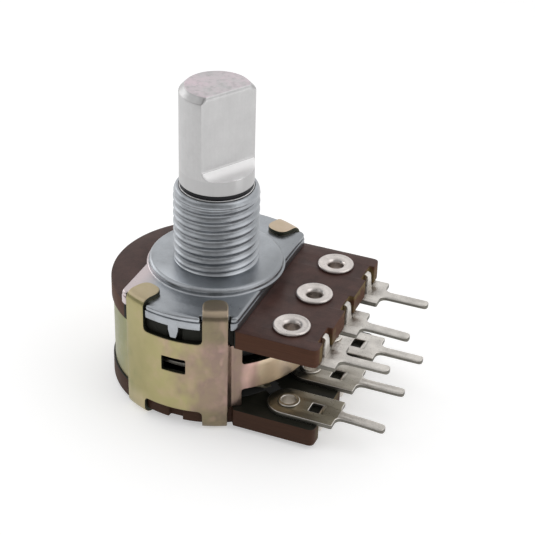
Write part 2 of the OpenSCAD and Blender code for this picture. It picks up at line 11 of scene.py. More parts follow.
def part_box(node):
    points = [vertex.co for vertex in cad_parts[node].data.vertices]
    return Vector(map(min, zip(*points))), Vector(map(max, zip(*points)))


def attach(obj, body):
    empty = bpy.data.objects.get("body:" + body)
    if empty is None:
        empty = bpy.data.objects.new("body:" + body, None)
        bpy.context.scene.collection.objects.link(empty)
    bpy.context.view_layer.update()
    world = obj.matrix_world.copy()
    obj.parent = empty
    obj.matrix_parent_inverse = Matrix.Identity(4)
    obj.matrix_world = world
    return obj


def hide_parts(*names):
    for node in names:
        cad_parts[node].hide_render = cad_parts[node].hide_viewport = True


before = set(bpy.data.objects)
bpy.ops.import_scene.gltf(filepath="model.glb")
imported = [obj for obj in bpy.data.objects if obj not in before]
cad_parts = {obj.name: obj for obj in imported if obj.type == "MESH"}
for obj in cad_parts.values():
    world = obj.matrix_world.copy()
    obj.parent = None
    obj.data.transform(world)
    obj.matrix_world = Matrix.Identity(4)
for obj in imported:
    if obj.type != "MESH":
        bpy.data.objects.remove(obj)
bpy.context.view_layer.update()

bl_info = {
    "name": "Rotary potentiometer",
    "version": (1, 0, 0),
    "blender": (4, 5, 0),
    "location": "View3D > Sidebar > Potentiometer",
    "description": "Builds the pieces and finishes of a dual-gang rotary potentiometer",
    "category": "Object",
}

MM = 0.001
HOUSING = "housing"
ROTOR = "rotor"
FULL_TURN = 2 * math.pi

# Levels and reaches read from the CAD frame, in metres
SHAFT_LOW, SHAFT_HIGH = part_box("shaft")
WAFER_LOW, WAFER_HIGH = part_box("front_wafer")
REAR_LOW, REAR_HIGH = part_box("rear_wafer")
RING_LOW, RING_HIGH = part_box("housing_ring")
BUSHING_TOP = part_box("front_bushing")[1].z
TERMINAL_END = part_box("front_terminal_2")[1].x
CLIP_LOW, CLIP_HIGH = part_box("shaft_clip")
MID_Z = (WAFER_LOW.z + REAR_HIGH.z) / 2


def length(name, description, default):
    """A size in metres whose default is given in millimetres."""
    size = default * MM
    return FloatProperty(name=name, description=description, default=size, unit="LENGTH", precision=5)


def angle(name, description, default):
    """An angle whose default is given in degrees."""
    return FloatProperty(name=name, description=description, default=math.radians(default), subtype="ANGLE")


def number(name, description, default):
    """A plain number."""
    return FloatProperty(name=name, description=description, default=default)


def colour(name, description, default):
    """A colour of a finish."""
    return FloatVectorProperty(
        name=name, description=description, default=default, subtype="COLOR", size=3, min=0, max=1
    )


class ShaftSizes(bpy.types.PropertyGroup):
    radius: length("Radius", "Radius of the shaft", 3.0)
    chamfer: length("Chamfer", "Chamfer round the tip", 0.5)
    flat_distance: length("Flat", "Distance from the axis to the flat", 1.5)
    flat_end: length("Flat end", "Height where the flat starts to curve out", 9.0)
    cutter: length("Cutter", "Radius of the cutter that ends the flat", 0.8)
    flat_angle: angle("Flat angle", "Direction that the flat faces at rest", -30)
    groove: length("Groove", "Radius at the bottom of the ring groove", 2.55)
    edge: length("Edge", "Rounding of the flat's edges", 0.045)
    drive: length("Drive section", "Radius of the drive section behind the bushing", 2.4)
    drive_top: length("Drive top", "Level where the drive section meets the full radius", -1.74)
    rivet: length("Rivet", "Radius of the riveted rear end", 2.8)
    rivet_height: length("Rivet height", "Height of the riveted rear end", 0.3)
    ring_radius: length("Ring", "Outer radius of the retaining ring", 2.95)
    ring_edge: length("Ring edge", "Rounding of the retaining ring's edges", 0.06)
    ring_gap: angle("Ring gap", "Half angle of the retaining ring's gap", 25)


class BushingSizes(bpy.types.PropertyGroup):
    radius: length("Radius", "Radius over the thread's crests", 3.48)
    thread_pitch: length("Pitch", "Distance between thread crests", 0.75)
    thread_depth: length("Depth", "Depth of the thread", 0.21)
    crest_height: length("Crest", "Height of a crest at the crest angle", 5.67)
    crest_angle: angle("Crest angle", "Direction at which that crest is measured", -70)
    shoulder: length("Shoulder", "Height of the rounded shoulder at the top", 0.8)
    rim: length("Rim", "Radius of the rim at the very top", 3.14)
    bore: length("Bore", "Radius of the bore", 3.04)
    disc: length("Disc", "Radius of the raised disc", 5.48)
    disc_edge: length("Disc edge", "Rounding of the disc's top edge", 0.36)
    disc_height: length("Disc height", "Height of the raised disc", 0.6)
    disc_foot: length("Disc foot", "Fillet at the disc's foot", 0.16)
    lead_in: length("Lead-in", "Height over which the thread starts", 0.18)
    run_out: length("Run-out", "Height over which the thread fades at the top", 0.5)
    plain_top: length("Plain top", "Height above the thread's run-out", 0.35)


class PlateSizes(bpy.types.PropertyGroup):
    radius: length("Radius", "Radius of the plate's round ends", 8.75)
    half_width: length("Half width", "Half the distance between the straight sides", 5.05)
    notch_radius: length("Notch", "Radius at the bottom of the tab notches", 8.28)
    notch_width: length("Notch width", "Width of the tab notches", 2.24)
    corner: length("Corner", "Rounding of the corners", 0.5)
    parting: length("Parting line", "Height of the parting line above the underside", 0.65)
    pip_angle: angle("Pip angle", "Angle of the locating pips from the Y axis", 1.25)
    pip_width: length("Pip width", "Width of a pip where it leaves the plate", 0.86)
    pip_tip: length("Pip tip", "Width of a pip at its end", 0.5)
    pip_reach: length("Pip reach", "How far a pip hangs below the plate", 1.05)
    pip_thickness: length("Pip thickness", "Thickness of a pip along the radius", 0.35)
    hole: length("Hole", "Radius of the hole under the disc", 3.2)
    edge: length("Edge", "Rounding below the parting line, and the step at it", 0.05)
    top_edge: length("Top edge", "Rounding of the plate's top edge", 0.2)


class WaferSizes(bpy.types.PropertyGroup):
    radius: length("Radius", "Radius of the round end", 8.55)
    recess: length("Recess", "Radius under the housing's lips", 8.35)
    recess_angle: angle("Recess angle", "Half angle of that recess", 33)
    hole: length("Hole", "Radius of the centre hole", 5.0)
    half_width: length("Tongue", "Half the width of the tongue", 7.4)
    corner: length("Corner", "Rounding of the tongue's corners", 0.5)
    notch_x: length("End notch", "Where the end notches start", 11.18)
    notch_width: length("End notch width", "Width of the end notches", 2.2)
    pip_notch: length("Pip notch", "Width of the notch for a pip", 1.2)
    pip_depth: length("Pip notch depth", "Depth of the notch for a pip", 0.4)
    edge: length("Edge", "Rounding of the punched edges", 0.06)


class HousingSizes(bpy.types.PropertyGroup):
    radius: length("Radius", "Outer radius of the plain wall", 8.4)
    sheet: length("Sheet", "Thickness of the sheet", 0.4)
    lip_angle: angle("Lip angle", "Half angle of a lip, from the Y axis", 31)
    lap: length("Lap", "How far a lip laps over a wafer's edge", 0.3)
    joggle: angle("Joggle", "Angle over which the sheet steps outward", 3)
    mouth: angle("Mouth", "Half angle of the cut-away beside the terminals", 51.8)
    band_top: length("Band top", "Top edge of the band, above the frame's origin", -5.2)
    band_low: length("Band bottom", "Bottom edge of the band, above the frame's origin", -7.65)
    window_width: length("Window width", "Width of the windows", 2.0)
    window_top: length("Window top", "Top edge of the windows", -4.66)
    window_height: length("Window height", "Height of the windows", 1.3)
    tab_angle: angle("Tab angle", "Angle of the tabs from the Y axis", 23.4)
    tab_width: length("Tab width", "Width of a tab", 2.0)
    tab_end: length("Tab end", "Radius that a folded tab reaches in to", 6.5)
    tab_tip: length("Tab tip", "Rounding of a tab's end", 0.98)
    fold: length("Fold", "Outer radius of a tab's fold", 0.8)
    root: length("Root", "Fillet at a tab's root", 0.45)
    edge: length("Edge", "Rounding of the sheet's edges", 0.06)


class TerminalSizes(bpy.types.PropertyGroup):
    pitch: length("Pitch", "Distance between terminals", 5.0)
    eyelet_x: length("Eyelet", "Distance of the eyelets from the axis", 8.6)
    lug_width: length("Lug width", "Width of the part round the eyelet", 3.4)
    lug_x: length("Lug end", "Where the wide part ends", 12.85)
    pin_width: length("Pin width", "Width of a pin", 0.98)
    corner: length("Lug corner", "Rounding of the wide part's outer corners", 0.14)
    root: length("Pin root", "Fillet at a pin's root", 0.5)
    tip: length("Pin tip", "Rounding of a pin's end", 0.48)
    thickness: length("Thickness", "Thickness of the sheet", 0.4)
    hole: length("Hole", "Side of the square hole", 1.15)
    hole_x: length("Hole centre", "Centre of the square hole", 11.045)
    tang: length("Tang", "Width of the tang", 0.95)
    edge: length("Edge", "Rounding of the sheet's edges", 0.07)
    channel: length("Channel", "Depth of the channel along a pin", 0.04)
    barrel: length("Barrel", "Radius of the eyelet's hole", 0.6)
    eye: length("Eye", "Radius of the holes that the eyelets pass through", 0.82)
    head: length("Head", "Radius of the eyelet's rolled head", 1.5)
    head_height: length("Head height", "Height of the rolled head", 0.3)
    flange: length("Flange", "Radius of the eyelet's flange", 0.9)
    flange_height: length("Flange height", "Height of the flange", 0.16)


class FinishColours(bpy.types.PropertyGroup):
    satin: colour("Shaft", "Satin metal of the shaft", (0.595, 0.59, 0.59))
    mottle: colour("Mottle", "Pinkish patches on the shaft's end", (0.735, 0.63, 0.672))
    zinc: colour("Zinc", "Grey plated casting", (0.41, 0.43, 0.455))
    bloom: colour("Bloom", "Pale end of the casting's plate", (0.62, 0.54, 0.55))
    gold: colour("Passivation, gold", "Main colour of the passivated sheet", (0.41, 0.365, 0.185))
    green: colour("Passivation, green", "Greenish end of the passivated sheet", (0.30, 0.31, 0.15))
    # Partly a painted dark reflection, over the sheet's own mauve tint
    mauve: colour("Passivation, mauve", "Dark mauve zone of the passivated sheet", (0.285, 0.20, 0.175))
    pink: colour("Passivation, pink", "Pink zone of the passivated sheet", (0.66, 0.41, 0.39))
    cream: colour("Passivation, cream", "Pale end of the passivated sheet", (0.70, 0.56, 0.43))
    # Painted shade: the sheet's punched edges are painted near black
    cut: colour("Cut sheet", "Punched edges of the passivated sheet", (0.05, 0.052, 0.035))
    phenolic: colour("Laminate", "Faces of the brown laminate", (0.068, 0.033, 0.027))
    phenolic_edge: colour("Laminate edge", "Cut edges of the laminate", (0.11, 0.045, 0.024))
    # Painted shade for the recessed edges and the faces between the gangs
    phenolic_shade: colour("Laminate, dark", "Inner faces and recessed edges", (0.020, 0.020, 0.015))
    flux: colour("Flux", "Amber residue on the tongues' ends", (0.155, 0.105, 0.042))
    tin: colour("Tin", "Warm silver of the terminals", (0.64, 0.61, 0.57))
    # Painted shade: the terminals' punched edges are painted dark
    tin_edge_shade: colour("Tin edge", "Dull punched edges of the terminals", (0.20, 0.19, 0.165))
    # Painted shade on the rear lugs, from the wafer above
    rear_lug_shade: colour("Tarnish", "Olive tarnish of the rear lugs", (0.27, 0.245, 0.18))
    bright: colour("Bright", "Greyish silver of the eyelets", (0.70, 0.65, 0.62))
    black: colour("Black", "Blackened retaining ring", (0.012, 0.012, 0.014))
    moulding: colour("Moulding", "Black moulded rotors", (0.016, 0.015, 0.015))
    shield: colour("Shield", "Bright sheet behind the windows", (0.55, 0.52, 0.46))


class StageSettings(bpy.types.PropertyGroup):
    lens: FloatProperty(name="Lens", description="Focal length", default=101.03, unit="CAMERA")
    key_power: number("Key", "Watts of the large light on the right", 0.03)
    fill_power: number("Fill", "Watts of the light by the camera", 0.012)
    side_power: number("Side", "Watts of the light on the left", 0.023)
    low_power: number("Low", "Watts of the low light on the right", 0.006)
    room: number("Room", "Level of the room's soft light", 0.46)
    darkest: number("Darkest", "Least level of the room's light", 0.28)
    white: number("White", "Light that the floor adds where it is seen", 0.42)
    floor_lengths: IntProperty(name="Floor", description="Half size in object lengths", default=40)


SETTINGS = {
    "pot_shaft": ShaftSizes,
    "pot_bushing": BushingSizes,
    "pot_plate": PlateSizes,
    "pot_wafer": WaferSizes,
    "pot_housing": HousingSizes,
    "pot_terminal": TerminalSizes,
    "pot_colours": FinishColours,
    "pot_stage": StageSettings,
}


# Outlines


def arc(centre, radius, start, end, steps):
    """Points on a circle from one angle to another, in radians."""
    return [
        (
            centre[0] + radius * math.cos(start + (end - start) * i / steps),
            centre[1] + radius * math.sin(start + (end - start) * i / steps),
        )
        for i in range(steps + 1)
    ]


def rounded(corners):
    """An outline from corners given as (x, y, radius), each rounded by its radius."""
    points = []
    count, steps = len(corners), 6
    for i, (x, y, radius) in enumerate(corners):
        here = Vector((x, y))
        back = Vector(corners[i - 1][:2]) - here
        ahead = Vector(corners[(i + 1) % count][:2]) - here
        if radius <= 0 or back.length < 1e-9 or ahead.length < 1e-9:
            points.append((x, y))
            continue
        half = back.angle(ahead) / 2
        reach = min(radius / math.tan(half), back.length * 0.49, ahead.length * 0.49)
        if half > math.radians(85):
            points.append((x, y))
            continue
        start, end = here + back.normalized() * reach, here + ahead.normalized() * reach
        for k in range(steps + 1):
            t = k / steps
            points.append(tuple((1 - t) ** 2 * start + 2 * t * (1 - t) * here + t**2 * end))
    return points


def polar(radius, degrees):
    """A point at a radius and an angle from the X axis."""
    return radius * math.cos(math.radians(degrees)), radius * math.sin(math.radians(degrees))


# Meshes


def shade(mesh, sharp_above=32):
    """Smooth faces, with edges left sharp where the surface turns by more than an angle in degrees."""
    work = bmesh.new()
    work.from_mesh(mesh)
    bmesh.ops.remove_doubles(work, verts=work.verts, dist=2e-7)
    bmesh.ops.recalc_face_normals(work, faces=work.faces)
    limit = math.radians(sharp_above)
    for face in work.faces:
        face.smooth = True
    for edge in work.edges:
        edge.smooth = not (len(edge.link_faces) == 2 and edge.calc_face_angle(0) > limit)
    work.to_mesh(mesh)
    work.free()


def add_piece(name, mesh, body, material, replaces=(), sharp_above=32, edges=None):
    """Puts a mesh in the scene on a CAD body, in place of CAD nodes, with a finish for its cut edges."""
    shade(mesh, sharp_above)
    piece = bpy.data.objects.new(name, mesh)
    bpy.context.scene.collection.objects.link(piece)
    marked = [face.index for face in mesh.polygons if face.material_index]
    mesh.materials.clear()
    mesh.materials.append(material)
    if edges:
        mesh.materials.append(edges)
        for index in marked:
            mesh.polygons[index].material_index = 1
    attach(piece, body)
    if replaces:
        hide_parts(*replaces)
    return piece


def slab(outlines, low, high, edge, edge_steps=3):
    """A flat sheet from outlines and holes, with rounded edges, as a mesh."""
    curve = bpy.data.curves.new("outline", "CURVE")
    curve.dimensions = "2D"
    curve.fill_mode = "BOTH"
    for outline in outlines:
        spline = curve.splines.new("POLY")
        spline.points.add(len(outline) - 1)
        for point, (x, y) in zip(spline.points, outline):
            point.co = (x / MM, y / MM, 0, 1)
        spline.use_cyclic_u = True
    curve.extrude = (high - low) / 2 / MM - edge / MM
    curve.bevel_depth = edge / MM
    curve.bevel_resolution = edge_steps - 1
    curve.offset = -edge / MM
    holder = bpy.data.objects.new("outline", curve)
    bpy.context.scene.collection.objects.link(holder)
    graph = bpy.context.evaluated_depsgraph_get()
    mesh = bpy.data.meshes.new_from_object(holder.evaluated_get(graph))
    mesh.transform(Matrix.Translation((0, 0, (low + high) / 2)) @ Matrix.Scale(MM, 4))
    bpy.data.objects.remove(holder)
    bpy.data.curves.remove(curve)
    return mesh


def join(meshes):
    """One mesh from several."""
    work = bmesh.new()
    for mesh in meshes:
        work.from_mesh(mesh)
    joined = bpy.data.meshes.new("joined")
    work.to_mesh(joined)
    work.free()
    for mesh in meshes:
        bpy.data.meshes.remove(mesh)
    return joined


def surface(rows, closed=True):
    """A mesh from rows of points, each row joined to the next."""
    work = bmesh.new()
    made = [[work.verts.new(p) for p in row] for row in rows]
    columns = len(rows[0])
    for low, high in zip(made, made[1:]):
        for i in range(columns if closed else columns - 1):
            j = (i + 1) % columns
            work.faces.new((low[i], low[j], high[j], high[i]))
    mesh = bpy.data.meshes.new("surface")
    bmesh.ops.recalc_face_normals(work, faces=work.faces)
    work.to_mesh(mesh)
    work.free()
    return mesh


def revolve(profile, steps=96, start=0.0, end=FULL_TURN, centre=(0, 0)):
    """A mesh from a closed profile of (radius, height), turned about a vertical axis."""
    whole = abs(end - start - FULL_TURN) < 1e-6
    count = steps if whole else steps + 1
    rows = []
    for r, z in [*profile, profile[0]]:
        row = []
        for i in range(count):
            a = start + (end - start) * i / steps
            row.append((centre[0] + r * math.cos(a), centre[1] + r * math.sin(a), z))
        rows.append(row)
    mesh = surface(rows, closed=whole)
    if whole:
        return mesh
    work = bmesh.new()
    work.from_mesh(mesh)
    bmesh.ops.remove_doubles(work, verts=work.verts, dist=1e-7)
    bmesh.ops.holes_fill(work, edges=work.edges)
    work.to_mesh(mesh)
    work.free()
    return mesh


def slice_mesh(work, cuts):
    """Cuts a bmesh along planes given as (point, normal)."""
    for point, normal in cuts:
        geometry = [*work.verts, *work.edges, *work.faces]
        bmesh.ops.bisect_plane(work, geom=geometry, dist=1e-8, plane_co=point, plane_no=normal)


def rear_copy(mesh):
    """Mirrors a front-gang mesh across the middle level, to the rear gang's place."""
    mesh.transform(Matrix.Translation((0, 0, 2 * MID_Z)) @ Matrix.Scale(-1, 4, (0, 0, 1)))
    mesh.flip_normals()


# Materials


class Nodes:
    """Short way to add and link shader nodes in one tree."""

    def __init__(self, tree):
        self.tree = tree

    def feed(self, socket, value):
        """Links a socket to another one, or sets it to a number, a vector or a colour."""
        if isinstance(value, bpy.types.NodeSocket):
            self.tree.links.new(value, socket)
        elif socket.type == "RGBA":
            socket.default_value = (*value, 1)
        else:
            socket.default_value = value

    def add(self, kind, **inputs):
        """A new node, whose inputs are given by name, or by place as i0, i1 and so on."""
        made = self.tree.nodes.new(kind)
        for key, value in inputs.items():
            numbered = key[0] == "i" and key[1:].isdigit()
            self.feed(made.inputs[int(key[1:]) if numbered else key], value)
        return made

    def math(self, operation, *values, clamp=False):
        """One step of arithmetic on sockets or numbers."""
        made = self.add("ShaderNodeMath", **{f"i{place}": value for place, value in enumerate(values)})
        made.operation = operation
        made.use_clamp = clamp
        return made.outputs[0]

    def product(self, first, *others):
        for value in others:
            first = self.math("MULTIPLY", first, value)
        return first

    def total(self, first, *others):
        for value in others:
            first = self.math("ADD", first, value)
        return first

    def line(self, value, slope, start=0.0, clamp=False):
        """The value times a slope, plus a start."""
        return self.math("MULTIPLY_ADD", value, slope, start, clamp=clamp)

    def above(self, value, limit):
        return self.math("GREATER_THAN", value, limit)

    def below(self, value, limit):
        return self.math("LESS_THAN", value, limit)

    def size(self, value):
        return self.math("ABSOLUTE", value)

    def mix(self, factor, a, b):
        """Colour a, turning to colour b as the factor rises from 0 to 1."""
        made = self.tree.nodes.new("ShaderNodeMix")
        made.data_type = "RGBA"
        for socket, value in ((made.inputs[0], factor), (made.inputs[6], a), (made.inputs[7], b)):
            self.feed(socket, value)
        return made.outputs[2]

    def ramp(self, factor, *stops):
        """Colours or numbers at places between 0 and 1, blended from each to the next."""
        made = self.add("ShaderNodeValToRGB", Fac=factor)
        ramp = made.color_ramp
        while len(ramp.elements) < len(stops):
            ramp.elements.new(0.5)
        for element, (place, value) in zip(ramp.elements, stops):
            element.position = place
            colour_value = (value,) * 3 if isinstance(value, (int, float)) else value
            element.color = (*colour_value, 1)
        return made.outputs[0]

    def noise(self, vector, scale, detail, roughness=0.55):
        made = self.add("ShaderNodeTexNoise", Vector=vector, Scale=scale, Detail=detail, Roughness=roughness)
        return made.outputs["Fac"]

    def cloud(self, stretch, detail):
        """Noise over object coordinates in millimetres, stretched along each axis."""
        return self.noise(self.place(stretch), 1.0, detail)

    def place(self, scale=(1, 1, 1)):
        """Object coordinates in millimetres, stretched by a scale."""
        coordinates = self.add("ShaderNodeTexCoord").outputs["Object"]
        made = self.add("ShaderNodeMapping", Vector=coordinates)
        made.inputs["Scale"].default_value = tuple(s / MM for s in scale)
        return made.outputs[0]

    def position(self):
        """Object coordinates in millimetres, as x, y and z."""
        return self.add("ShaderNodeSeparateXYZ", Vector=self.place()).outputs

    def upward(self):
        """How far the surface faces up: 1 on top faces, -1 on undersides."""
        normal = self.add("ShaderNodeNewGeometry").outputs["Normal"]
        return self.add("ShaderNodeSeparateXYZ", Vector=normal).outputs[2]


def effect(name, inputs, outputs, build):
    """A shader node group with named inputs and outputs, made once."""
    found = bpy.data.node_groups.get(name)
    if found:
        return found
    tree = bpy.data.node_groups.new(name, "ShaderNodeTree")
    for label, kind, default in inputs:
        socket = tree.interface.new_socket(name=label, in_out="INPUT", socket_type=kind)
        socket.default_value = default
    for label, kind in outputs:
        tree.interface.new_socket(name=label, in_out="OUTPUT", socket_type=kind)
    source = tree.nodes.new("NodeGroupInput")
    sink = tree.nodes.new("NodeGroupOutput")
    for label, value in build(Nodes(tree), source.outputs).items():
        tree.links.new(value, sink.inputs[label])
    return tree


def soft_blotches():
    """Slow, faint variation of tone, as handling and plating leave on metal."""

    def build(n, given):
        place = n.place()
        slow = n.noise(place, given["Scale"], 3.0)
        fine = n.noise(place, n.product(given["Scale"], 9.0), 5.0)
        both = n.total(n.product(slow, 0.7), n.product(fine, 0.3))
        return {"Mask": n.line(both, 3.6, -1.296, clamp=True), "Grain": fine}

    return effect(
        "soft blotches",
        [("Scale", "NodeSocketFloat", 0.4)],
        [("Mask", "NodeSocketFloat"), ("Grain", "NodeSocketFloat")],
        build,
    )


def drawn_lines():
    """Fine parallel lines that turning, drawing or punching leaves, across one stretched direction."""

    def build(n, given):
        coordinates = n.add("ShaderNodeTexCoord").outputs["Object"]
        stretched = n.add("ShaderNodeVectorMath", i0=coordinates, i1=given["Stretch"])
        stretched.operation = "MULTIPLY"
        return {"Lines": n.noise(stretched.outputs[0], 1.0 / MM, 4.0, 0.7)}

    return effect(
        "drawn lines",
        [("Stretch", "NodeSocketVector", (0.3, 0.3, 12))],
        [("Lines", "NodeSocketFloat")],
        build,
    )


def new_material(name, metallic, roughness, diffuse):
    """A material with its node helper and its shader."""
    material = bpy.data.materials.new(name)
    material.use_nodes = True
    material.diffuse_color = (*diffuse, 1)
    shader = material.node_tree.nodes["Principled BSDF"]
    shader.inputs["Metallic"].default_value = metallic
    shader.inputs["Roughness"].default_value = roughness
    return material, Nodes(material.node_tree), shader


def place_effect(n, tree, **inputs):
    """Puts a shared effect in a material, with that material's own values."""
    made = n.add("ShaderNodeGroup")
    made.node_tree = tree
    for key, value in inputs.items():
        made.inputs[key].default_value = value
    return made.outputs


def connect(n, shader, base, roughness, height, strength, distance):
    """Feeds a shader its colour, roughness and bump, with the bump's distance in millimetres."""
    n.feed(shader.inputs["Base Color"], base)
    n.feed(shader.inputs["Roughness"], roughness)
    bump = n.add("ShaderNodeBump", Height=height, Strength=strength, Distance=distance * MM)
    n.feed(shader.inputs["Normal"], bump.outputs[0])


def tinted(colour_value, factor):
    """A colour made darker or paler by a factor."""
    return tuple(min(c * factor, 1) for c in colour_value)


def satin_metal(colours):
    """The shaft: turned metal with a milled flat and a mottled end; the flat and the ledge are painted paler
    as painted light, and the foot is darker.
    """
    satin = colours.satin
    shaft = bpy.context.scene.pot_shaft
    material, n, shader = new_material("satin_shaft", 1.0, 0.36, satin)
    blotches = place_effect(n, soft_blotches(), Scale=0.5)
    lines = place_effect(n, drawn_lines(), Stretch=(5, 5, 0.35))["Lines"]
    z = n.position()[2]
    base = n.mix(blotches["Mask"], tinted(satin, 0.88), tinted(satin, 1.08))
    base = n.mix(n.product(lines, 0.4), base, tinted(satin, 0.72))
    # The flat is painted a little paler than the turned surface, as painted light
    faces = (math.cos(shaft.flat_angle), math.sin(shaft.flat_angle), 0)
    distance = n.add("ShaderNodeVectorMath", i0=n.place(), i1=faces)
    distance.operation = "DOT_PRODUCT"
    from_flat = n.size(n.line(distance.outputs["Value"], 1, -shaft.flat_distance / MM))
    flat, turned = (n.mix(0.5, base, tinted(satin, share)) for share in (0.8, 0.76))
    base = n.mix(n.above(from_flat, 0.03), flat, turned)
    # The end face is mottled with pink and speckled with grey
    end = n.above(z, SHAFT_HIGH.z / MM - 0.05)
    mottled = n.mix(blotches["Mask"], satin, colours.mottle)
    speckle = n.line(n.cloud((2.2, 2.2, 2.2), 4.0), 4.0, -2.0, clamp=True)
    mottled = n.mix(n.product(speckle, 0.5), mottled, tinted(satin, 0.62))
    base = n.mix(end, base, mottled)
    # Below the flat the shaft is darker
    foot = n.below(z, (shaft.flat_end - shaft.cutter) / MM - 0.05)
    base = n.mix(n.product(foot, 0.8), base, tinted(satin, 0.78))
    # The milled ledge at the foot of the flat is rougher, and painted paler as a painted highlight
    ledge = n.product(n.above(n.upward(), 0.3), n.below(z, shaft.flat_end / MM + 0.2))
    base = n.mix(ledge, base, tinted(satin, 1.55))
    rough = n.total(n.product(lines, 0.22), n.line(end, 0.1, 0.26), n.product(ledge, 0.3))
    height = n.total(lines, n.product(blotches["Grain"], 0.9))
    connect(n, shader, base, rough, height, 0.35, 0.02)
    return material


def cast_zinc(colours):
    """The bushing and its plate: a grey plated casting, with painted shade in the thread's valleys and
    painted light and shade on the plate and disc.
    """
    zinc = colours.zinc
    bushing = bpy.context.scene.pot_bushing
    material, n, shader = new_material("cast_zinc", 1.0, 0.34, zinc)
    blotches = place_effect(n, soft_blotches(), Scale=0.5)
    x, y, z = n.position()
    base = n.mix(blotches["Mask"], tinted(zinc, 0.86), tinted(zinc, 1.12))
    # The plate's far left end has a pale pinkish bloom
    bloom = n.product(n.line(x, -0.6, -1.6, clamp=True), n.below(z, 0.05 - bushing.disc_height / MM))
    base = n.mix(bloom, base, colours.bloom)
    # Plate and disc are painted darker towards the terminals as a painted reflection of the dark thread, and
    # the disc's front is painted brighter as painted light
    under_thread = n.below(z, 0.1)
    right = n.line(x, 0.6, -1.9, clamp=True)
    base = n.mix(n.product(right, under_thread, 0.7), base, tinted(zinc, 0.62))
    front = n.product(n.line(y, -0.4, -1.2, clamp=True), n.above(z, -0.01))
    base = n.mix(n.product(front, under_thread), base, tinted(zinc, 1.7))
    # Painted shade in the thread's valleys, broken up by a fine grain
    across = n.add("ShaderNodeCombineXYZ", X=x, Y=y).outputs[0]
    radius = n.add("ShaderNodeVectorMath", i0=across)
    radius.operation = "LENGTH"
    crest = bushing.radius / MM - 0.04
    valley = n.line(radius.outputs["Value"], -6.0, 6.0 * crest, clamp=True)
    thread = n.product(n.above(z, 0.1), n.below(z, 6.2))
    grain = n.cloud((5, 5, 5), 3.0)
    valley_shade_and_grain = n.product(n.total(n.product(valley, 0.3), n.product(grain, 0.12)), thread)
    base = n.mix(valley_shade_and_grain, base, tinted(zinc, 0.3))
    rough = n.line(blotches["Grain"], 0.25, 0.2)
    height = n.total(blotches["Grain"], n.product(grain, thread, 1.2))
    connect(n, shader, base, rough, height, 0.35, 0.03)
    return material


def yellow_passivation(colours):
    """The housing ring: passivated sheet that runs from green through gold and mauve to cream, with a
    painted dark reflection and painted highlights beside the terminals.
    """
    green, gold, mauve = colours.green, colours.gold, colours.mauve
    pink, cream = colours.pink, colours.cream
    material, n, shader = new_material("yellow_passivation", 1.0, 0.33, gold)
    blotches = place_effect(n, soft_blotches(), Scale=0.22)
    lines = place_effect(n, drawn_lines(), Stretch=(1.4, 1.4, 6))["Lines"]
    x, y, z = n.position()
    # Both run from 0 at the ring's far side to 1 by the terminals, the first much blurred by noise
    wander = n.line(n.cloud((0.3, 0.3, 0.22), 3.0), 0.7, -0.35)
    across = n.line(x, MM / (RING_HIGH.y - RING_LOW.y), 0.5)
    along = n.total(across, wander)
    reach = n.total(across, n.product(wander, 0.12))
    # The mauve zone beside the front tabs is darker partly as a painted dark reflection of the floor in
    # front, over the sheet's own mauve tint
    zones = n.ramp(
        along,
        (0.05, tinted(green, 0.7)),
        (0.2, tinted(green, 0.82)),
        (0.3, tinted(gold, 0.84)),
        (0.52, gold),
        (0.66, mauve),
        (0.76, mauve),
        (0.83, pink),
        (0.94, cream),
    )
    # Small pink patches where the gold turns to mauve
    patch = n.line(n.cloud((0.9, 0.9, 0.7), 4.0), 3.5, -1.61, clamp=True)
    near = n.ramp(along, (0.36, 0.0), (0.52, 0.5), (0.72, 0.4), (0.84, 0.0))
    zones = n.mix(n.product(patch, near), zones, tinted(pink, 0.85))
    # Upright stripes of mauve, pink and cream on the stretch beside the terminals, the bright cream ones
    # partly painted highlights
    stripe_and_highlight = n.ramp(
        reach,
        (0.765, tinted(mauve, 0.75)),
        (0.795, tinted(mauve, 0.9)),
        (0.825, tinted(pink, 1.1)),
        (0.85, pink),
        (0.87, tinted(cream, 1.35)),
        (0.93, tinted(cream, 1.4)),
        (0.97, tinted(cream, 1.1)),
    )
    zones = n.mix(n.ramp(reach, (0.74, 0.0), (0.77, 0.9)), zones, stripe_and_highlight)
    # Tab ends by the terminals are painted dark olive, partly as a painted dark reflection, and the lower
    # ones pale on the far side
    low = n.line(z, -1, -8.7, clamp=True)
    ends = n.math("MAXIMUM", low, n.line(z, 1, 3.4, clamp=True))
    olive = n.product(ends, n.ramp(reach, (0.6, 0.0), (0.62, 0.5), (0.76, 0.5), (0.78, 0.0)))
    zones = n.mix(olive, zones, tinted(green, 0.45))
    pale = n.product(low, n.ramp(reach, (0.34, 0.3), (0.4, 0.0)))
    zones = n.mix(pale, zones, tinted(cream, 1.2))
    # The folded heads are paler than the wall, and the ring's back is cream
    head = n.product(n.above(z, -0.5), 0.55)
    zones = n.mix(head, zones, tinted(cream, 0.85))
    back = n.line(y, 0.3, 0.5, clamp=True)
    base = n.mix(back, zones, tinted(cream, 0.85))
    base = n.mix(n.product(blotches["Mask"], 0.35), base, tinted(gold, 1.1))
    rough = n.line(blotches["Grain"], 0.26, 0.22)
    height = n.total(lines, n.product(blotches["Grain"], 0.8))
    connect(n, shader, base, rough, height, 0.28, 0.02)
    return material


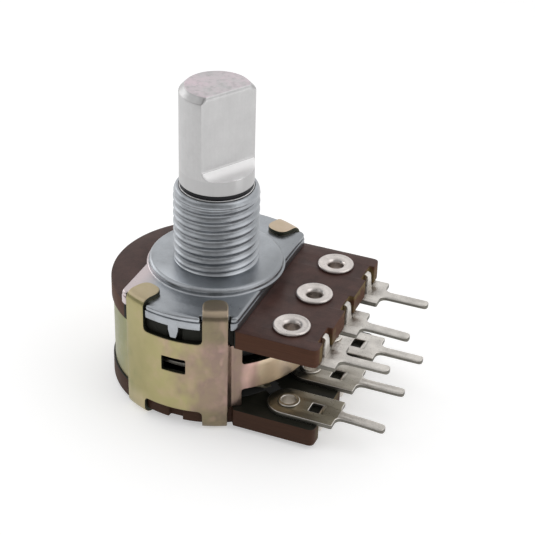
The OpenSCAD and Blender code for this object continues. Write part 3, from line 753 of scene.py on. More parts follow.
def brown_laminate(colours):
    """The wafers: paper laminate with layered cut edges and flux on the tongues' ends."""
    phenolic, edge, dark = colours.phenolic, colours.phenolic_edge, colours.phenolic_shade
    wafer = bpy.context.scene.pot_wafer
    material, n, shader = new_material("brown_laminate", 0.0, 0.42, phenolic)
    blotches = place_effect(n, soft_blotches(), Scale=0.8)
    layers = place_effect(n, drawn_lines(), Stretch=(0.35, 0.35, 10))["Lines"]
    x, y, z = n.position()
    upward = n.upward()
    side = n.below(n.size(upward), 0.6)
    face = n.mix(blotches["Mask"], tinted(phenolic, 0.8), tinted(phenolic, 1.35))
    cut = n.mix(layers, tinted(edge, 0.55), tinted(edge, 1.25))
    # Flux has run over parts of the tongue's end, between the terminals
    run = n.line(n.cloud((0.5, 0.5, 0.5), 2.0), 9.0, -4.05, clamp=True)
    end_x, end_y = wafer.notch_x / MM - 0.08, wafer.half_width / MM - 0.6
    end = n.product(n.above(x, end_x), n.below(n.size(y), end_y))
    cut = n.mix(n.product(end, run), cut, colours.flux)
    base = n.mix(side, face, cut)
    # Painted shade: edges under the front lips and faces between the gangs are painted dark, and the whole
    # rear wafer a little darker
    rear = n.below(z, MID_Z / MM)
    recess = n.product(n.below(n.size(x), 4.9), side, n.above(n.size(y), 6.0), n.above(z, MID_Z / MM))
    inner = n.product(rear, n.above(upward, 0.5))
    base = n.mix(n.math("MAXIMUM", recess, inner), base, dark)
    base = n.mix(n.product(rear, 0.35), base, dark)
    rough = n.line(side, 0.25, 0.4)
    height = n.total(n.product(blotches["Grain"], 0.4), n.product(side, layers))
    connect(n, shader, base, rough, height, 0.3, 0.02)
    shader.inputs["Specular IOR Level"].default_value = 0.22
    return material


def terminal_tin(colours):
    """The terminals: tinned sheet, with painted shade on the rear lugs and painted highlights on their rims.
    """
    tin = colours.tin
    material, n, shader = new_material("terminal_tin", 1.0, 0.34, tin)
    grain = place_effect(n, soft_blotches(), Scale=0.9)
    x, y, z = n.position()
    base = n.mix(grain["Mask"], tinted(tin, 0.78), tinted(tin, 1.15))
    # The rear lugs are painted dark olive as painted shade and a painted dark reflection of the wafer above,
    # more so towards the near end, and their rims are painted bright as painted highlights
    near = n.line(y, -0.1, 0.5, clamp=True)
    lug_end = bpy.context.scene.pot_terminal.lug_x / MM + 0.05
    lug = n.product(n.below(x, lug_end), n.below(z, MID_Z / MM))
    rim = n.below(n.size(n.upward()), 0.93)
    base = n.mix(n.product(lug, near, 0.92), base, colours.rear_lug_shade)
    base = n.mix(n.product(lug, rim), base, tinted(tin, 1.35))
    rough = n.line(grain["Grain"], 0.4, 0.14)
    connect(n, shader, base, rough, grain["Grain"], 0.55, 0.04)
    return material


def plain_finish(name, metallic, tone, low_rough, high_rough):
    """A finish with a slow change of tone and a fine grain, for small and inner pieces."""
    material, n, shader = new_material(name, metallic, low_rough, tone)
    blotches = place_effect(n, soft_blotches(), Scale=0.8)
    base = n.mix(blotches["Mask"], tinted(tone, 0.82), tinted(tone, 1.1))
    rough = n.line(blotches["Grain"], high_rough - low_rough, low_rough)
    connect(n, shader, base, rough, blotches["Grain"], 0.2, 0.02)
    return material


DETAILED_FINISHES = {
    "satin_shaft": satin_metal,
    "cast_zinc": cast_zinc,
    "yellow_passivation": yellow_passivation,
    "brown_laminate": brown_laminate,
    "terminal_tin": terminal_tin,
}

# Each plain finish by its metallic value, its colour's name, and its lowest and highest roughness
PLAIN_FINISHES = {
    "bright_eyelet": (1.0, "bright", 0.2, 0.42),
    "dull_tin": (1.0, "tin_edge_shade", 0.35, 0.6),
    "cut_sheet": (0.8, "cut", 0.35, 0.55),
    "black_ring": (0.6, "black", 0.35, 0.5),
    "black_moulding": (0.0, "moulding", 0.4, 0.6),
    "shield_sheet": (1.0, "shield", 0.25, 0.45),
}


def finish(name):
    """The material of that name, made when first asked for."""
    found = bpy.data.materials.get(name)
    if found:
        return found
    colours = bpy.context.scene.pot_colours
    if name in DETAILED_FINISHES:
        return DETAILED_FINISHES[name](colours)
    metallic, tone, low_rough, high_rough = PLAIN_FINISHES[name]
    return plain_finish(name, metallic, getattr(colours, tone), low_rough, high_rough)


# Pieces


class POT_OT_shaft(bpy.types.Operator):
    """Builds the shaft with its chamfered tip, ring groove and milled flat"""

    bl_idname = "pot.shaft"
    bl_label = "Shaft"

    def execute(self, context):
        s = context.scene.pot_shaft
        top = SHAFT_HIGH.z
        uncut = 10 * s.radius
        centre = s.flat_distance + s.cutter
        # Each level is (height, radius, distance from the axis to the cut), and the small steps ease edges
        rivet_top = SHAFT_LOW.z + s.rivet_height
        flat_foot = s.flat_end - s.cutter
        levels = [
            (SHAFT_LOW.z, 0, uncut),
            (SHAFT_LOW.z, s.rivet - 0.1 * MM, uncut),
            (SHAFT_LOW.z + 0.1 * MM, s.rivet, uncut),
            (rivet_top, s.rivet, uncut),
            (rivet_top, s.drive, uncut),
            (s.drive_top, s.drive, uncut),
            (s.drive_top, s.radius, uncut),
            (CLIP_LOW.z - 0.03 * MM, s.radius, uncut),
            (CLIP_LOW.z, s.radius - 0.03 * MM, uncut),
            (CLIP_LOW.z, s.groove, uncut),
            (CLIP_HIGH.z, s.groove, uncut),
            (CLIP_HIGH.z, s.radius - 0.05 * MM, uncut),
            (CLIP_HIGH.z + 0.05 * MM, s.radius, uncut),
            (flat_foot - 0.04 * MM, s.radius, uncut),
            (flat_foot - 0.01 * MM, s.radius, s.radius - 0.01 * MM),
            (flat_foot, s.radius, s.radius - 0.04 * MM),
        ]
        for i in range(15):
            t = math.radians(90 * i / 14)
            cut = centre - s.cutter * math.sin(t)
            levels.append((s.flat_end - s.cutter * math.cos(t), s.radius, cut))
        chamfer_low = top - s.chamfer
        for i in range(1, 9):
            z = s.flat_end + (chamfer_low - 0.05 * MM - s.flat_end) * i / 8
            levels.append((z, s.radius, s.flat_distance))
        levels += [
            (chamfer_low, s.radius - 0.012 * MM, s.flat_distance),
            (chamfer_low + 0.05 * MM, s.radius - 0.055 * MM, s.flat_distance),
            (top - 0.13 * MM, s.radius - s.chamfer + 0.14 * MM, s.flat_distance - 0.01 * MM),
            (top - 0.03 * MM, s.radius - s.chamfer + 0.03 * MM, s.flat_distance - 0.09 * MM),
            (top, s.radius - s.chamfer - 0.05 * MM, s.flat_distance - 0.16 * MM),
        ]
        rows = [self.level(s, *level) for level in levels]
        crown = [Vector((0, 0, top)).lerp(Vector(p), 0.5) for p in rows[-1]]
        rows.append([tuple(p) for p in crown])
        rows.append([(0, 0, top)] * len(rows[-1]))
        add_piece("shaft_turned", surface(rows), ROTOR, finish("satin_shaft"), ["shaft"], 40)
        self.retaining_ring(s)
        return {"FINISHED"}

    def retaining_ring(self, s):
        """The dark open ring in the shaft's groove."""
        edge = s.ring_edge
        section = [(s.groove, CLIP_LOW.z)]
        section += arc((s.ring_radius - edge, CLIP_LOW.z + edge), edge, -math.pi / 2, 0, 4)
        section += arc((s.ring_radius - edge, CLIP_HIGH.z - edge), edge, 0, math.pi / 2, 4)
        section += [(s.groove, CLIP_HIGH.z)]
        start = math.pi / 2 + s.ring_gap
        mesh = revolve(section, 90, start, start + FULL_TURN - 2 * s.ring_gap)
        add_piece("retaining_ring", mesh, ROTOR, finish("black_ring"), ["shaft_clip"])

    def level(self, s, z, radius, cut, columns=360):
        """One row of points: the circle, trimmed by the cut, with the edge between them eased."""
        row = []
        for i in range(columns):
            a = FULL_TURN * i / columns
            r = radius
            facing = math.cos(a - s.flat_angle)
            if facing > 0.05 and cut < radius * 1.2:
                trim = cut / facing
                ease = max(s.edge - abs(radius - trim), 0) / s.edge
                r = min(radius, trim) - ease * ease * s.edge / 4
            row.append((r * math.cos(a), r * math.sin(a), z))
        return row


class POT_OT_bushing(bpy.types.Operator):
    """Builds the threaded bushing with its helical thread, shoulder and raised disc"""

    bl_idname = "pot.bushing"
    bl_label = "Threaded bushing"

    def execute(self, context):
        s = context.scene.pot_bushing
        top = BUSHING_TOP
        columns, per_pitch = 128, 20
        rows = []
        steps = int((top - s.shoulder) / s.thread_pitch * per_pitch)
        heights = [(top - s.shoulder) * i / steps for i in range(steps + 1)]
        heights += [top - s.shoulder * (1 - i / 16) for i in range(1, 16)]
        rows.append(self.ring(columns, s.radius - s.thread_depth, -0.05 * MM))
        for z in heights:
            rows.append([self.point(s, z, top, FULL_TURN * i / columns) for i in range(columns)])
        rows.append(self.ring(columns, s.rim - 0.01 * MM, top))
        rows.append(self.ring(columns, s.bore + 0.03 * MM, top))
        rows.append(self.ring(columns, s.bore, top - 0.05 * MM))
        rows.append(self.ring(columns, s.bore, top - 2 * MM))
        thread = surface(rows)
        low, edge, foot = -s.disc_height - 0.1 * MM, s.disc_edge, s.disc_foot
        profile = [(s.bore, low), (s.disc + foot, low)]
        profile += arc((s.disc + foot, foot - s.disc_height), foot, -math.pi / 2, -math.pi, 6)
        profile += arc((s.disc - edge, -edge), edge, 0, math.pi / 2, 10)
        profile += [(s.bore, 0)]
        disc = revolve(profile, 160)
        add_piece(
            "bushing_threaded",
            join([thread, disc]),
            HOUSING,
            finish("cast_zinc"),
            ["front_bushing"],
            50,
        )
        return {"FINISHED"}

    def ring(self, columns, radius, z):
        """A plain circle of points."""
        return [
            (radius * math.cos(FULL_TURN * i / columns), radius * math.sin(FULL_TURN * i / columns), z)
            for i in range(columns)
        ]

    def point(self, s, z, top, a):
        """The point of the threaded surface at a height and an angle."""
        turn = (z - s.crest_height) / s.thread_pitch - (a - s.crest_angle) / FULL_TURN
        from_crest = abs(turn - round(turn)) * 2
        valley = 1 - min(max((from_crest - 0.1) / 0.9, 0), 1)
        depth = s.thread_depth * (1 - valley * valley)
        fade = min(max((top - s.plain_top - z) / s.run_out, 0), 1) * min(max(z / s.lead_in, 0), 1)
        above = max(z - (top - s.shoulder), 0) / s.shoulder
        outer = s.rim + (s.radius - s.rim) * math.sqrt(max(1 - above * above, 0))
        r = min(outer, s.radius - depth * fade)
        return (r * math.cos(a), r * math.sin(a), z)


class POT_OT_plate(bpy.types.Operator):
    """Builds the oblong mounting plate with its tab notches, parting line and pips"""

    bl_idname = "pot.plate"
    bl_label = "Mounting plate"

    def execute(self, context):
        s = context.scene.pot_plate
        bottom = WAFER_HIGH.z
        top = -context.scene.pot_bushing.disc_height
        split = bottom + s.parting
        hole = arc((0, 0), s.hole, 0, FULL_TURN, 64)[:-1]
        lower = slab([self.outline(s, 0), hole], bottom, split, s.edge, 2)
        upper = slab([self.outline(s, s.edge), hole], split - s.edge, top, s.top_edge, 5)
        pips = [self.pip(s, side, bottom) for side in (-1, 1)]
        add_piece(
            "mounting_plate",
            join([lower, upper, *pips]),
            HOUSING,
            finish("cast_zinc"),
            ["front_bushing"],
            40,
        )
        return {"FINISHED"}

    def outline(self, s, inset):
        """Plan of the plate, drawn in by an inset: two round ends, each with two tab notches."""
        radius, half = s.radius - inset, s.half_width - inset
        notch, corner = s.notch_radius - inset, s.corner
        tab = bpy.context.scene.pot_housing.tab_angle
        half_notch = s.notch_width / 2 + inset
        corners = []
        for side in (-1, 1):
            edge_angle = math.acos(half / radius)
            start = (-math.pi + edge_angle) if side < 0 else edge_angle
            middle = side * math.pi / 2
            corners.append((*polar(radius, math.degrees(start)), corner))
            for turn in (-tab, tab):
                a = middle + turn
                along = Vector((math.cos(a), math.sin(a)))
                across = Vector((-math.sin(a), math.cos(a)))
                lip = math.sqrt(radius**2 - half_notch**2)
                for sign, reach, share in ((-1, lip, 0.8), (-1, notch, 0.3), (1, notch, 0.3), (1, lip, 0.8)):
                    corners.append((*(along * reach + across * sign * half_notch), share * corner))
                if turn < 0:
                    gap = half_notch / radius
                    for k in range(1, 12):
                        t = a + gap + (middle + tab - gap - a - gap) * k / 12
                        corners.append((radius * math.cos(t), radius * math.sin(t), 0))
            corners.append((*polar(radius, math.degrees(2 * middle - start)), corner))
        return rounded(corners)

    def pip(self, s, side, bottom):
        """A tapered prong, drawn upright and then stood on the plate's edge."""
        half, tip = s.pip_width / 2, s.pip_tip / 2
        outline = rounded(
            [
                (-half, s.parting / 2, 0),
                (-half, -s.pip_reach / 3, 0.1 * MM),
                (-tip, -s.pip_reach, 0.12 * MM),
                (tip, -s.pip_reach, 0.12 * MM),
                (half, -s.pip_reach / 3, 0.1 * MM),
                (half, s.parting / 2, 0),
            ]
        )
        mesh = slab([outline], s.radius - s.pip_thickness, s.radius, 0.06 * MM, 3)
        turn = Matrix.Rotation(side * (math.pi / 2 - s.pip_angle), 4, "Z")
        stand = Matrix(((0, 0, 1, 0), (1, 0, 0, 0), (0, 1, 0, bottom), (0, 0, 0, 1)))
        mesh.transform(turn @ stand)
        return mesh


class POT_OT_wafers(bpy.types.Operator):
    """Builds the two laminate wafers"""

    bl_idname = "pot.wafers"
    bl_label = "Wafers"

    def execute(self, context):
        s = context.scene.pot_wafer
        t = context.scene.pot_terminal
        holes = [arc((0, 0), s.hole, 0, FULL_TURN, 96)[:-1]]
        for i in (-1, 0, 1):
            holes.append(arc((t.eyelet_x, i * t.pitch), t.eye, 0, FULL_TURN, 32)[:-1])
        for name, low, high in (
            ("front_wafer", WAFER_LOW.z, WAFER_HIGH.z),
            ("rear_wafer", REAR_LOW.z, REAR_HIGH.z),
        ):
            mesh = slab([self.outline(s, t), *holes], low, high, s.edge)
            add_piece(f"{name}_laminate", mesh, HOUSING, finish("brown_laminate"), [name], 40)
        return {"FINISHED"}

    def outline(self, s, t):
        """Plan of a wafer: round on the far side, recessed under the lips, with a square tongue."""
        pip = math.degrees(bpy.context.scene.pot_plate.pip_angle)
        recess = math.degrees(s.recess_angle)
        end = WAFER_HIGH.x
        # Roundings of the punched corners: outer and inner ones, the tongue's foot, and the recess's step
        outer, inner, foot, step = 0.1 * MM, 0.12 * MM, 0.05 * MM, 0.03 * MM
        # Upper half, from the tongue's end round to the far side
        half = []
        for i in (0, 1):
            y = i * t.pitch
            if i:
                half.append((end, y - s.notch_width / 2, outer))
                half.append((s.notch_x, y - s.notch_width / 2, inner))
            half.append((s.notch_x, y + s.notch_width / 2, inner))
            half.append((end, y + s.notch_width / 2, outer))
        half.append((end, s.half_width, s.corner))
        half.append((s.half_width / math.tan(math.radians(90 - recess)), s.half_width, foot))
        half.append((*polar(s.recess, 90 - recess), foot))
        notch = math.degrees(s.pip_notch / 2 / s.recess)
        start, stop = 90 - recess, 90 - pip - notch
        half += self.round_edge(s.recess, start, stop, 14)
        half.append((*polar(s.recess, stop), outer))
        half.append((*polar(s.recess - s.pip_depth, stop), outer))
        half.append((*polar(s.recess - s.pip_depth, stop + 2 * notch), outer))
        half.append((*polar(s.recess, stop + 2 * notch), outer))
        start, stop = stop + 2 * notch, 90 + recess
        half += self.round_edge(s.recess, start, stop, 14)
        half.append((*polar(s.recess, stop), step))
        half.append((*polar(s.radius, stop), step))
        half += self.round_edge(s.radius, stop, 180, 30)
        lower = [(x, -y, r) for x, y, r in reversed(half)]
        return rounded([*half, (-s.radius, 0, 0), *lower])

    def round_edge(self, radius, start, stop, steps):
        """Points between the two ends of a round stretch."""
        return [(*polar(radius, start + (stop - start) * k / steps), 0) for k in range(1, steps)]


class POT_OT_housing(bpy.types.Operator):
    """Builds the housing ring: a flat blank with its tabs and windows, bent round the wafers"""

    bl_idname = "pot.housing"
    bl_label = "Housing ring"

    def execute(self, context):
        s = context.scene.pot_housing
        self.wrap = s.radius + s.sheet / 2
        self.front_seat = -context.scene.pot_bushing.disc_height
        self.rear_seat = REAR_LOW.z
        self.fold_top = self.front_seat + s.sheet - s.fold
        self.fold_low = self.rear_seat - s.sheet + s.fold
        self.neutral = s.fold - s.sheet / 2
        self.arc_length = self.neutral * math.pi / 2
        self.flat_length = s.radius + s.sheet - s.fold - s.tab_end
        mesh = slab([self.blank(s), *self.windows(s)], -s.sheet / 2, s.sheet / 2, s.edge)
        work = bmesh.new()
        work.from_mesh(mesh)
        bmesh.ops.remove_doubles(work, verts=work.verts, dist=2e-7)
        cuts = [((self.wrap * math.radians(a), 0, 0), (1, 0, 0)) for a in range(-177, 178, 3)]
        for side in (-90, 90):
            for turn in (-1, 1):
                joint = side + turn * math.degrees(s.lip_angle)
                for k in (-1.5, -1, -0.5, 0.5, 1, 1.5):
                    cuts.append(((self.wrap * math.radians(joint + k), 0, 0), (1, 0, 0)))
        for k in range(9):
            reach = self.arc_length * k / 8
            cuts.append(((0, self.fold_top + reach, 0), (0, 1, 0)))
            cuts.append(((0, self.fold_low - reach, 0), (0, 1, 0)))
        slice_mesh(work, cuts)
        # Side faces take the punched-edge finish, painted dark as painted shade
        for face in work.faces:
            face.material_index = int(abs(face.normal.z) < 0.3)
        for vert in work.verts:
            vert.co = self.bend(s, *vert.co)
        work.to_mesh(mesh)
        work.free()
        sheet, cut = finish("yellow_passivation"), finish("cut_sheet")
        add_piece("housing_sheet", mesh, HOUSING, sheet, ["housing_ring"], 35, cut)
        return {"FINISHED"}

    def blank(self, s):
        """Outline of the flat blank: distance round the ring across, height up."""
        top = self.edge(s, WAFER_LOW.z, WAFER_LOW.z + s.lap, s.band_top, self.fold_top, 1)
        low = self.edge(s, REAR_HIGH.z, REAR_HIGH.z - s.lap, s.band_low, self.fold_low, -1)
        return rounded([*low, *reversed(top)])

    def edge(self, s, wall, lip, band, fold, up):
        """One edge of the blank, from one end of the ring to the other."""
        wrap = self.wrap
        reach = fold + up * (self.arc_length + self.flat_length)
        half = s.tab_width / 2
        # Roundings where a lip starts and at its shoulder, and at the mouth's two corners
        start, shoulder, mouth_band, mouth_wall = 0.08 * MM, 0.12 * MM, 0.25 * MM, 0.15 * MM
        end = math.pi - 0.02 * MM / wrap
        corners = [(-end * wrap, wall, 0)]
        for side in (-1, 1):
            middle = side * math.pi / 2
            first, last = wrap * (middle - s.lip_angle), wrap * (middle + s.lip_angle)
            if side > 0:
                corners += [(wrap * s.mouth, band, mouth_band), (wrap * s.mouth, wall, mouth_wall)]
            corners += [(first, wall, start), (first, lip, shoulder)]
            for turn in (-s.tab_angle, s.tab_angle):
                at = wrap * (middle + turn)
                corners += [(at - half, lip, s.root), (at - half, reach, s.tab_tip)]
                corners += [(at + half, reach, s.tab_tip), (at + half, lip, s.root)]
            corners += [(last, lip, shoulder), (last, wall, start)]
            if side < 0:
                corners += [(-wrap * s.mouth, wall, mouth_wall), (-wrap * s.mouth, band, mouth_band)]
        corners.append((end * wrap, wall, 0))
        return corners

    def windows(self, s):
        """Outlines of the two windows, below the plate's pips."""
        half = s.window_width / 2
        low, high = s.window_top - s.window_height, s.window_top
        pip = bpy.context.scene.pot_plate.pip_angle
        made = []
        for side in (-1, 1):
            at = self.wrap * side * (math.pi / 2 - pip)
            corners = [(at - half, low), (at + half, low), (at + half, high), (at - half, high)]
            made.append(rounded([(*c, 0.12 * MM) for c in corners]))
        return made

    def bend(self, s, across, up, out):
        """Carries a point of the flat blank to its place on the bent ring."""
        a = across / self.wrap
        w = out + s.sheet / 2
        if self.fold_low <= up <= self.fold_top:
            side = math.pi / 2 if a > 0 else -math.pi / 2
            beyond = (abs(a - side) - s.lip_angle) / s.joggle + 0.5
            t = min(max(beyond, 0), 1)
            r = s.radius - s.sheet * (t * t * (3 - 2 * t)) + w
            return Vector((r * math.cos(a), r * math.sin(a), up))
        tabs = [side * math.pi / 2 + turn for side in (-1, 1) for turn in (-s.tab_angle, s.tab_angle)]
        tab = min(tabs, key=lambda t: abs(t - a))
        front = up > self.fold_top
        beyond = up - self.fold_top if front else self.fold_low - up
        centre = s.radius + s.sheet - s.fold
        inner = s.fold - s.sheet
        if beyond < self.arc_length:
            turn = beyond / self.neutral
            r, rise = centre + (inner + w) * math.cos(turn), (inner + w) * math.sin(turn)
        else:
            r, rise = centre - (beyond - self.arc_length), inner + w
        offset = a - tab
        local = Vector((r - self.wrap * (1 - math.cos(offset)), self.wrap * math.sin(offset), 0))
        local.rotate(Matrix.Rotation(tab, 3, "Z"))
        local.z = self.fold_top + rise if front else self.fold_low - rise
        return local


class POT_OT_terminals(bpy.types.Operator):
    """Builds the six terminals with their square holes, bent tangs and channelled pins"""

    bl_idname = "pot.terminals"
    bl_label = "Terminals"

    def execute(self, context):
        s = context.scene.pot_terminal
        # How far each pin is bent up at its tip, in millimetres
        lifts = {"front": (0.0, -0.1, 0.0), "rear": (-0.2, 0.0, 0.0)}
        for gang, heights in lifts.items():
            up = 1 if gang == "front" else -1
            for i in (-1, 0, 1):
                mesh = self.build(s, up * heights[i + 1] * MM)
                mesh.transform(Matrix.Translation((0, i * s.pitch, 0)))
                if gang == "rear":
                    rear_copy(mesh)
                name = f"{gang}_terminal_{i + 2}"
                metal, edge_shade = finish("terminal_tin"), finish("dull_tin")
                add_piece(f"{name}_tinned", mesh, HOUSING, metal, [name], 35, edge_shade)
        return {"FINISHED"}

    def build(self, s, lift):
        """One front terminal: a punched blank with its pin shaped and its tang added."""
        low = WAFER_LOW.z - s.thickness
        half, pin = s.lug_width / 2, s.pin_width / 2
        end = TERMINAL_END
        corners = [(s.lug_x, -half, s.corner), (s.lug_x, -pin, s.root), (end, -pin, s.tip)]
        corners += [(end, pin, s.tip), (s.lug_x, pin, s.root), (s.lug_x, half, s.corner)]
        round_end = arc((s.eyelet_x, 0), half, math.pi / 2, 3 * math.pi / 2, 24)
        corners += [(x, y, 0) for x, y in round_end]
        side = s.hole / 2
        square = ((-1, -1), (1, -1), (1, 1), (-1, 1))
        hole = rounded([(s.hole_x + a * side, b * side, 0.12 * MM) for a, b in square])
        eye = arc((s.eyelet_x, 0), s.eye, 0, FULL_TURN, 28)[:-1]
        flat = slab([rounded(corners), hole, eye], low, WAFER_LOW.z, s.edge)
        work = bmesh.new()
        work.from_mesh(flat)
        bmesh.ops.remove_doubles(work, verts=work.verts, dist=2e-7)
        across = (-0.4, -0.35, -0.3, -0.2, -0.1, 0, 0.1, 0.2, 0.3, 0.35, 0.4)
        cuts = [((0, y * MM, 0), (0, 1, 0)) for y in across]
        cuts += [((s.lug_x + 0.3 * MM * k, 0, 0), (1, 0, 0)) for k in range(13)]
        slice_mesh(work, cuts)
        # Side faces take the dark edge finish, as painted shade
        for face in work.faces:
            face.material_index = int(abs(face.normal.z) < 0.3)
        for vert in work.verts:
            self.shape_pin(s, vert.co, lift, end)
        work.to_mesh(flat)
        work.free()
        return join([flat, self.tang(s, low)])

    def shape_pin(self, s, point, lift, end):
        """Sinks the channel along a pin and lifts the pin a little towards its tip."""
        beyond = point.x - s.lug_x
        if beyond <= 0:
            return
        # The channel fades out towards both ends of the pin and away from its middle
        fade, half_channel = 0.7 * MM, 0.3 * MM
        along = min(beyond / fade, 1) * min(max((end - point.x) / fade, 0), 1)
        across = max(1 - abs(point.y) / half_channel, 0)
        dip = s.channel * along * across * across * (3 - 2 * across)
        # The pin's long edges are rounded off, outside its flat middle
        flat_half, round_width, round_start = 0.22 * MM, 0.27 * MM, 0.6 * MM
        side = min(max((abs(point.y) - flat_half) / round_width, 0), 1)
        middle = WAFER_LOW.z - s.thickness / 2
        above = point.z - middle
        above *= 1 - dip * 2 / s.thickness
        above *= 1 - 0.45 * side * side * min(beyond / round_start, 1)
        point.z = middle + above
        t = beyond / (end - s.lug_x)
        point.z += lift * t * t

    def tang(self, s, low):
        """The strip that leaves the hole's outer edge and turns up into the wafer's end notch."""
        root = s.hole_x + s.hole / 2
        outer = low + s.thickness
        top = WAFER_HIGH.z
        outline = [(root + 0.1 * MM, low)]
        outline += arc((root, outer), s.thickness, -math.pi / 2, -math.pi, 8)
        outline += [(root - s.thickness, top - 0.35 * MM), (root - s.thickness, top - 0.06 * MM)]
        outline += [(root - 0.3 * MM, top), (root - 0.08 * MM, top - 0.12 * MM)]
        outline += [(root - 0.02 * MM, top - 0.35 * MM)]
        outline += [(root, outer + 0.3 * MM), (root + 0.04 * MM, outer), (root + 0.1 * MM, outer)]
        mesh = slab([outline], -s.tang / 2, s.tang / 2, 0.05 * MM, 2)
        mesh.transform(Matrix(((1, 0, 0, 0), (0, 0, -1, 0), (0, 1, 0, 0), (0, 0, 0, 1))))
        # It tapers towards its tip and leans a little to one side
        for vert in mesh.vertices:
            rise = min(max((vert.co.z - outer) / (top - outer), 0), 1)
            vert.co.y *= 1.45 - 0.75 * math.sqrt(rise)
            vert.co.y += 0.16 * MM * rise * (1 - rise)
        return mesh


class POT_OT_eyelets(bpy.types.Operator):
    """Builds the six eyelets with their rolled heads"""

    bl_idname = "pot.eyelets"
    bl_label = "Eyelets"

    def execute(self, context):
        s = context.scene.pot_terminal
        for gang in ("front", "rear"):
            for i in (-1, 0, 1):
                mesh = revolve(self.profile(s), 64, centre=(s.eyelet_x, i * s.pitch))
                if gang == "rear":
                    rear_copy(mesh)
                name = f"{gang}_eyelet_{i + 2}"
                metal = finish("bright_eyelet" if gang == "front" else "terminal_tin")
                add_piece(f"{name}_rolled", mesh, HOUSING, metal, [name], 50)
        return {"FINISHED"}

    def profile(self, s):
        """Section of an eyelet, from the flange up the outside and down through the barrel."""
        face, back = WAFER_HIGH.z, WAFER_LOW.z - s.thickness
        low = back - s.flange_height
        lip = s.flange_height / 2
        rim = s.head_height / 2
        points = [(s.barrel, low + lip)]
        points += arc((s.barrel + lip, low + lip), lip, math.pi, 1.5 * math.pi, 5)[1:]
        points += arc((s.flange - lip, low + lip), lip, -math.pi / 2, math.pi / 2, 8)
        points += [(s.barrel + 0.2 * MM, back), (s.barrel + 0.2 * MM, face)]
        points += arc((s.head - rim, face + rim), rim, -math.pi / 2, math.pi * 0.62, 10)
        # A shallow dish inside the rim, then a funnel down into the barrel
        funnel = 0.38 * MM
        top = face + s.head_height - 0.06 * MM
        points += [(s.head - 0.3 * MM, top), (s.head - 0.4 * MM, top - 0.01 * MM)]
        points += arc((s.barrel + funnel, top - funnel), funnel, math.pi / 2, math.pi, 8)
        return points


# Inner CAD nodes that get a finish here: tracks, collectors and wipers keep the colours of the frame
CARRIED_OVER = {
    "shield_plate": "shield_sheet",
    "front_rotor": "black_moulding",
    "rear_rotor": "black_moulding",
}


class POT_OT_inner_pieces(bpy.types.Operator):
    """Gives the shield plate and the rotors their finishes"""

    bl_idname = "pot.inner_pieces"
    bl_label = "Inner pieces"

    def execute(self, context):
        for node, material in CARRIED_OVER.items():
            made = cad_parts[node]
            made.data.materials.clear()
            made.data.materials.append(finish(material))
        return {"FINISHED"}


# Stage

CAMERA_PLACE = (41.919 * MM, -95.850 * MM, 63.055 * MM)
CAMERA_RIGHT = (0.92576466, 0.37732547, 0.0241928)
CAMERA_UP = (-0.21665836, 0.47695449, 0.85180607)
CAMERA_BACK = (0.30986926, -0.79381352, 0.52329832)

# Each lamp's place and size, in millimetres
LAMPS = {
    "key": ((100, 5, 90), (110, 110)),
    "fill": ((-80, -60, 80), (80, 80)),
    "side": ((-120, 25, 45), (90, 60)),
    "low": ((110, -12, 6), (60, 30)),
}

# How the room's light rises along X, Y and Z: it is bright behind the object and above it
ROOM_RISE = (0.02, 0.45, 0.25)


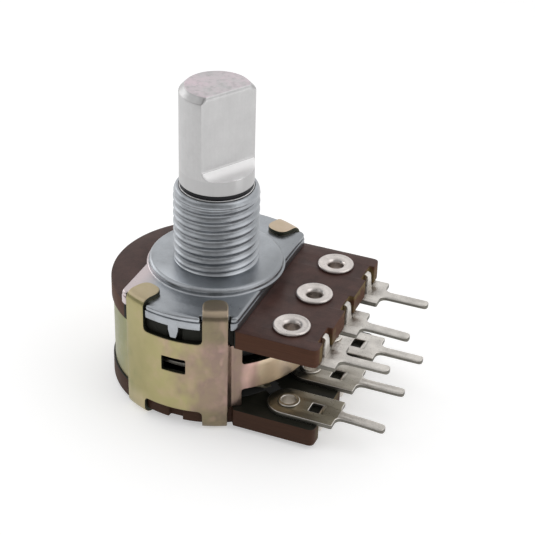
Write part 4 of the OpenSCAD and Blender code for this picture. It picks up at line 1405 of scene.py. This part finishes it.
class POT_OT_stage(bpy.types.Operator):
    """Builds the floor, the soft studio light and the camera"""

    bl_idname = "pot.stage"
    bl_label = "Stage"

    def execute(self, context):
        s = context.scene.pot_stage
        context.scene.view_settings.view_transform = "Standard"
        self.camera(context, s)
        self.floor(s)
        self.world(context, s)
        for name, (place, size) in LAMPS.items():
            self.light(f"{name}_light", place, size, getattr(s, f"{name}_power"))
        return {"FINISHED"}

    def camera(self, context, s):
        """The camera that was fitted to the photograph."""
        data = bpy.data.cameras.new("photo_camera")
        data.lens = s.lens
        data.sensor_width = 36
        data.clip_start, data.clip_end = 1 * MM, 20
        camera = bpy.data.objects.new("photo_camera", data)
        columns = (CAMERA_RIGHT, CAMERA_UP, CAMERA_BACK, CAMERA_PLACE)
        camera.matrix_world = Matrix([[*row] for row in zip(*columns)] + [[0, 0, 0, 1]])
        context.scene.collection.objects.link(camera)
        context.scene.camera = camera

    def floor(self, s):
        """A wide pale floor that looks white and still takes the object's shadow."""
        size = s.floor_lengths * (SHAFT_HIGH.z - SHAFT_LOW.z)
        mesh = bpy.data.meshes.new("floor")
        corners = [(a * size, b * size, RING_LOW.z) for a, b in ((-1, -1), (1, -1), (1, 1), (-1, 1))]
        mesh.from_pydata(corners, [], [(0, 1, 2, 3)])
        floor = bpy.data.objects.new("floor", mesh)
        bpy.context.scene.collection.objects.link(floor)
        material, n, shader = new_material("pale_floor", 0.0, 0.9, (0.9, 0.9, 0.9))
        path = n.add("ShaderNodeLightPath").outputs
        seen = n.math("MAXIMUM", path["Is Camera Ray"], path["Is Glossy Ray"])
        seen = n.math("MAXIMUM", seen, path["Is Transmission Ray"])
        n.feed(shader.inputs["Emission Color"], n.mix(seen, (0, 0, 0), (s.white,) * 3))
        shader.inputs["Emission Strength"].default_value = 1
        shader.inputs["Specular IOR Level"].default_value = 0
        mesh.materials.append(material)

    def world(self, context, s):
        """The soft light of a room, darker on the camera's side."""
        world = bpy.data.worlds.new("soft_room")
        context.scene.world = world
        world.use_nodes = True
        n = Nodes(world.node_tree)
        background = world.node_tree.nodes["Background"]
        direction = n.add("ShaderNodeTexCoord").outputs["Generated"]
        rise = n.add("ShaderNodeVectorMath", i0=direction, i1=ROOM_RISE)
        rise.operation = "DOT_PRODUCT"
        soft = n.math("MAXIMUM", n.total(rise.outputs["Value"], s.room), s.darkest)
        n.feed(background.inputs["Strength"], soft)
        background.inputs["Color"].default_value = (1, 1, 1, 1)

    def light(self, name, place, size, power):
        """An area lamp that faces the object."""
        data = bpy.data.lights.new(name, "AREA")
        data.shape = "RECTANGLE"
        data.size, data.size_y = size[0] * MM, size[1] * MM
        data.energy = power
        lamp = bpy.data.objects.new(name, data)
        lamp.location = Vector(place) * MM
        lamp.rotation_euler = (Vector((0, 0, 0)) - lamp.location).to_track_quat("-Z", "Y").to_euler()
        bpy.context.scene.collection.objects.link(lamp)


class POT_PT_sidebar(bpy.types.Panel):
    """Lists the pieces that can be built"""

    bl_idname = "POT_PT_sidebar"
    bl_label = "Potentiometer"
    bl_space_type = "VIEW_3D"
    bl_region_type = "UI"
    bl_category = "Potentiometer"

    def draw(self, context):
        for operator in OPERATORS:
            self.layout.operator(operator.bl_idname)
        for name, group in SETTINGS.items():
            box = self.layout.box()
            for field in group.__annotations__:
                box.prop(getattr(context.scene, name), field)


OPERATORS = (
    POT_OT_shaft,
    POT_OT_bushing,
    POT_OT_plate,
    POT_OT_wafers,
    POT_OT_housing,
    POT_OT_terminals,
    POT_OT_eyelets,
    POT_OT_inner_pieces,
    POT_OT_stage,
)
CLASSES = (*SETTINGS.values(), *OPERATORS, POT_PT_sidebar)


def register():
    """Adds the classes and their settings to Blender."""
    for cls in CLASSES:
        bpy.utils.register_class(cls)
    for name, group in SETTINGS.items():
        setattr(bpy.types.Scene, name, PointerProperty(type=group))


def unregister():
    """Takes the classes and their settings out again."""
    for name in SETTINGS:
        delattr(bpy.types.Scene, name)
    for cls in reversed(CLASSES):
        bpy.utils.unregister_class(cls)


def main():
    """Builds every piece in order."""
    register()
    for operator in OPERATORS:
        area, name = operator.bl_idname.split(".")
        getattr(getattr(bpy.ops, area), name)()


if __name__ == "__main__":
    main()
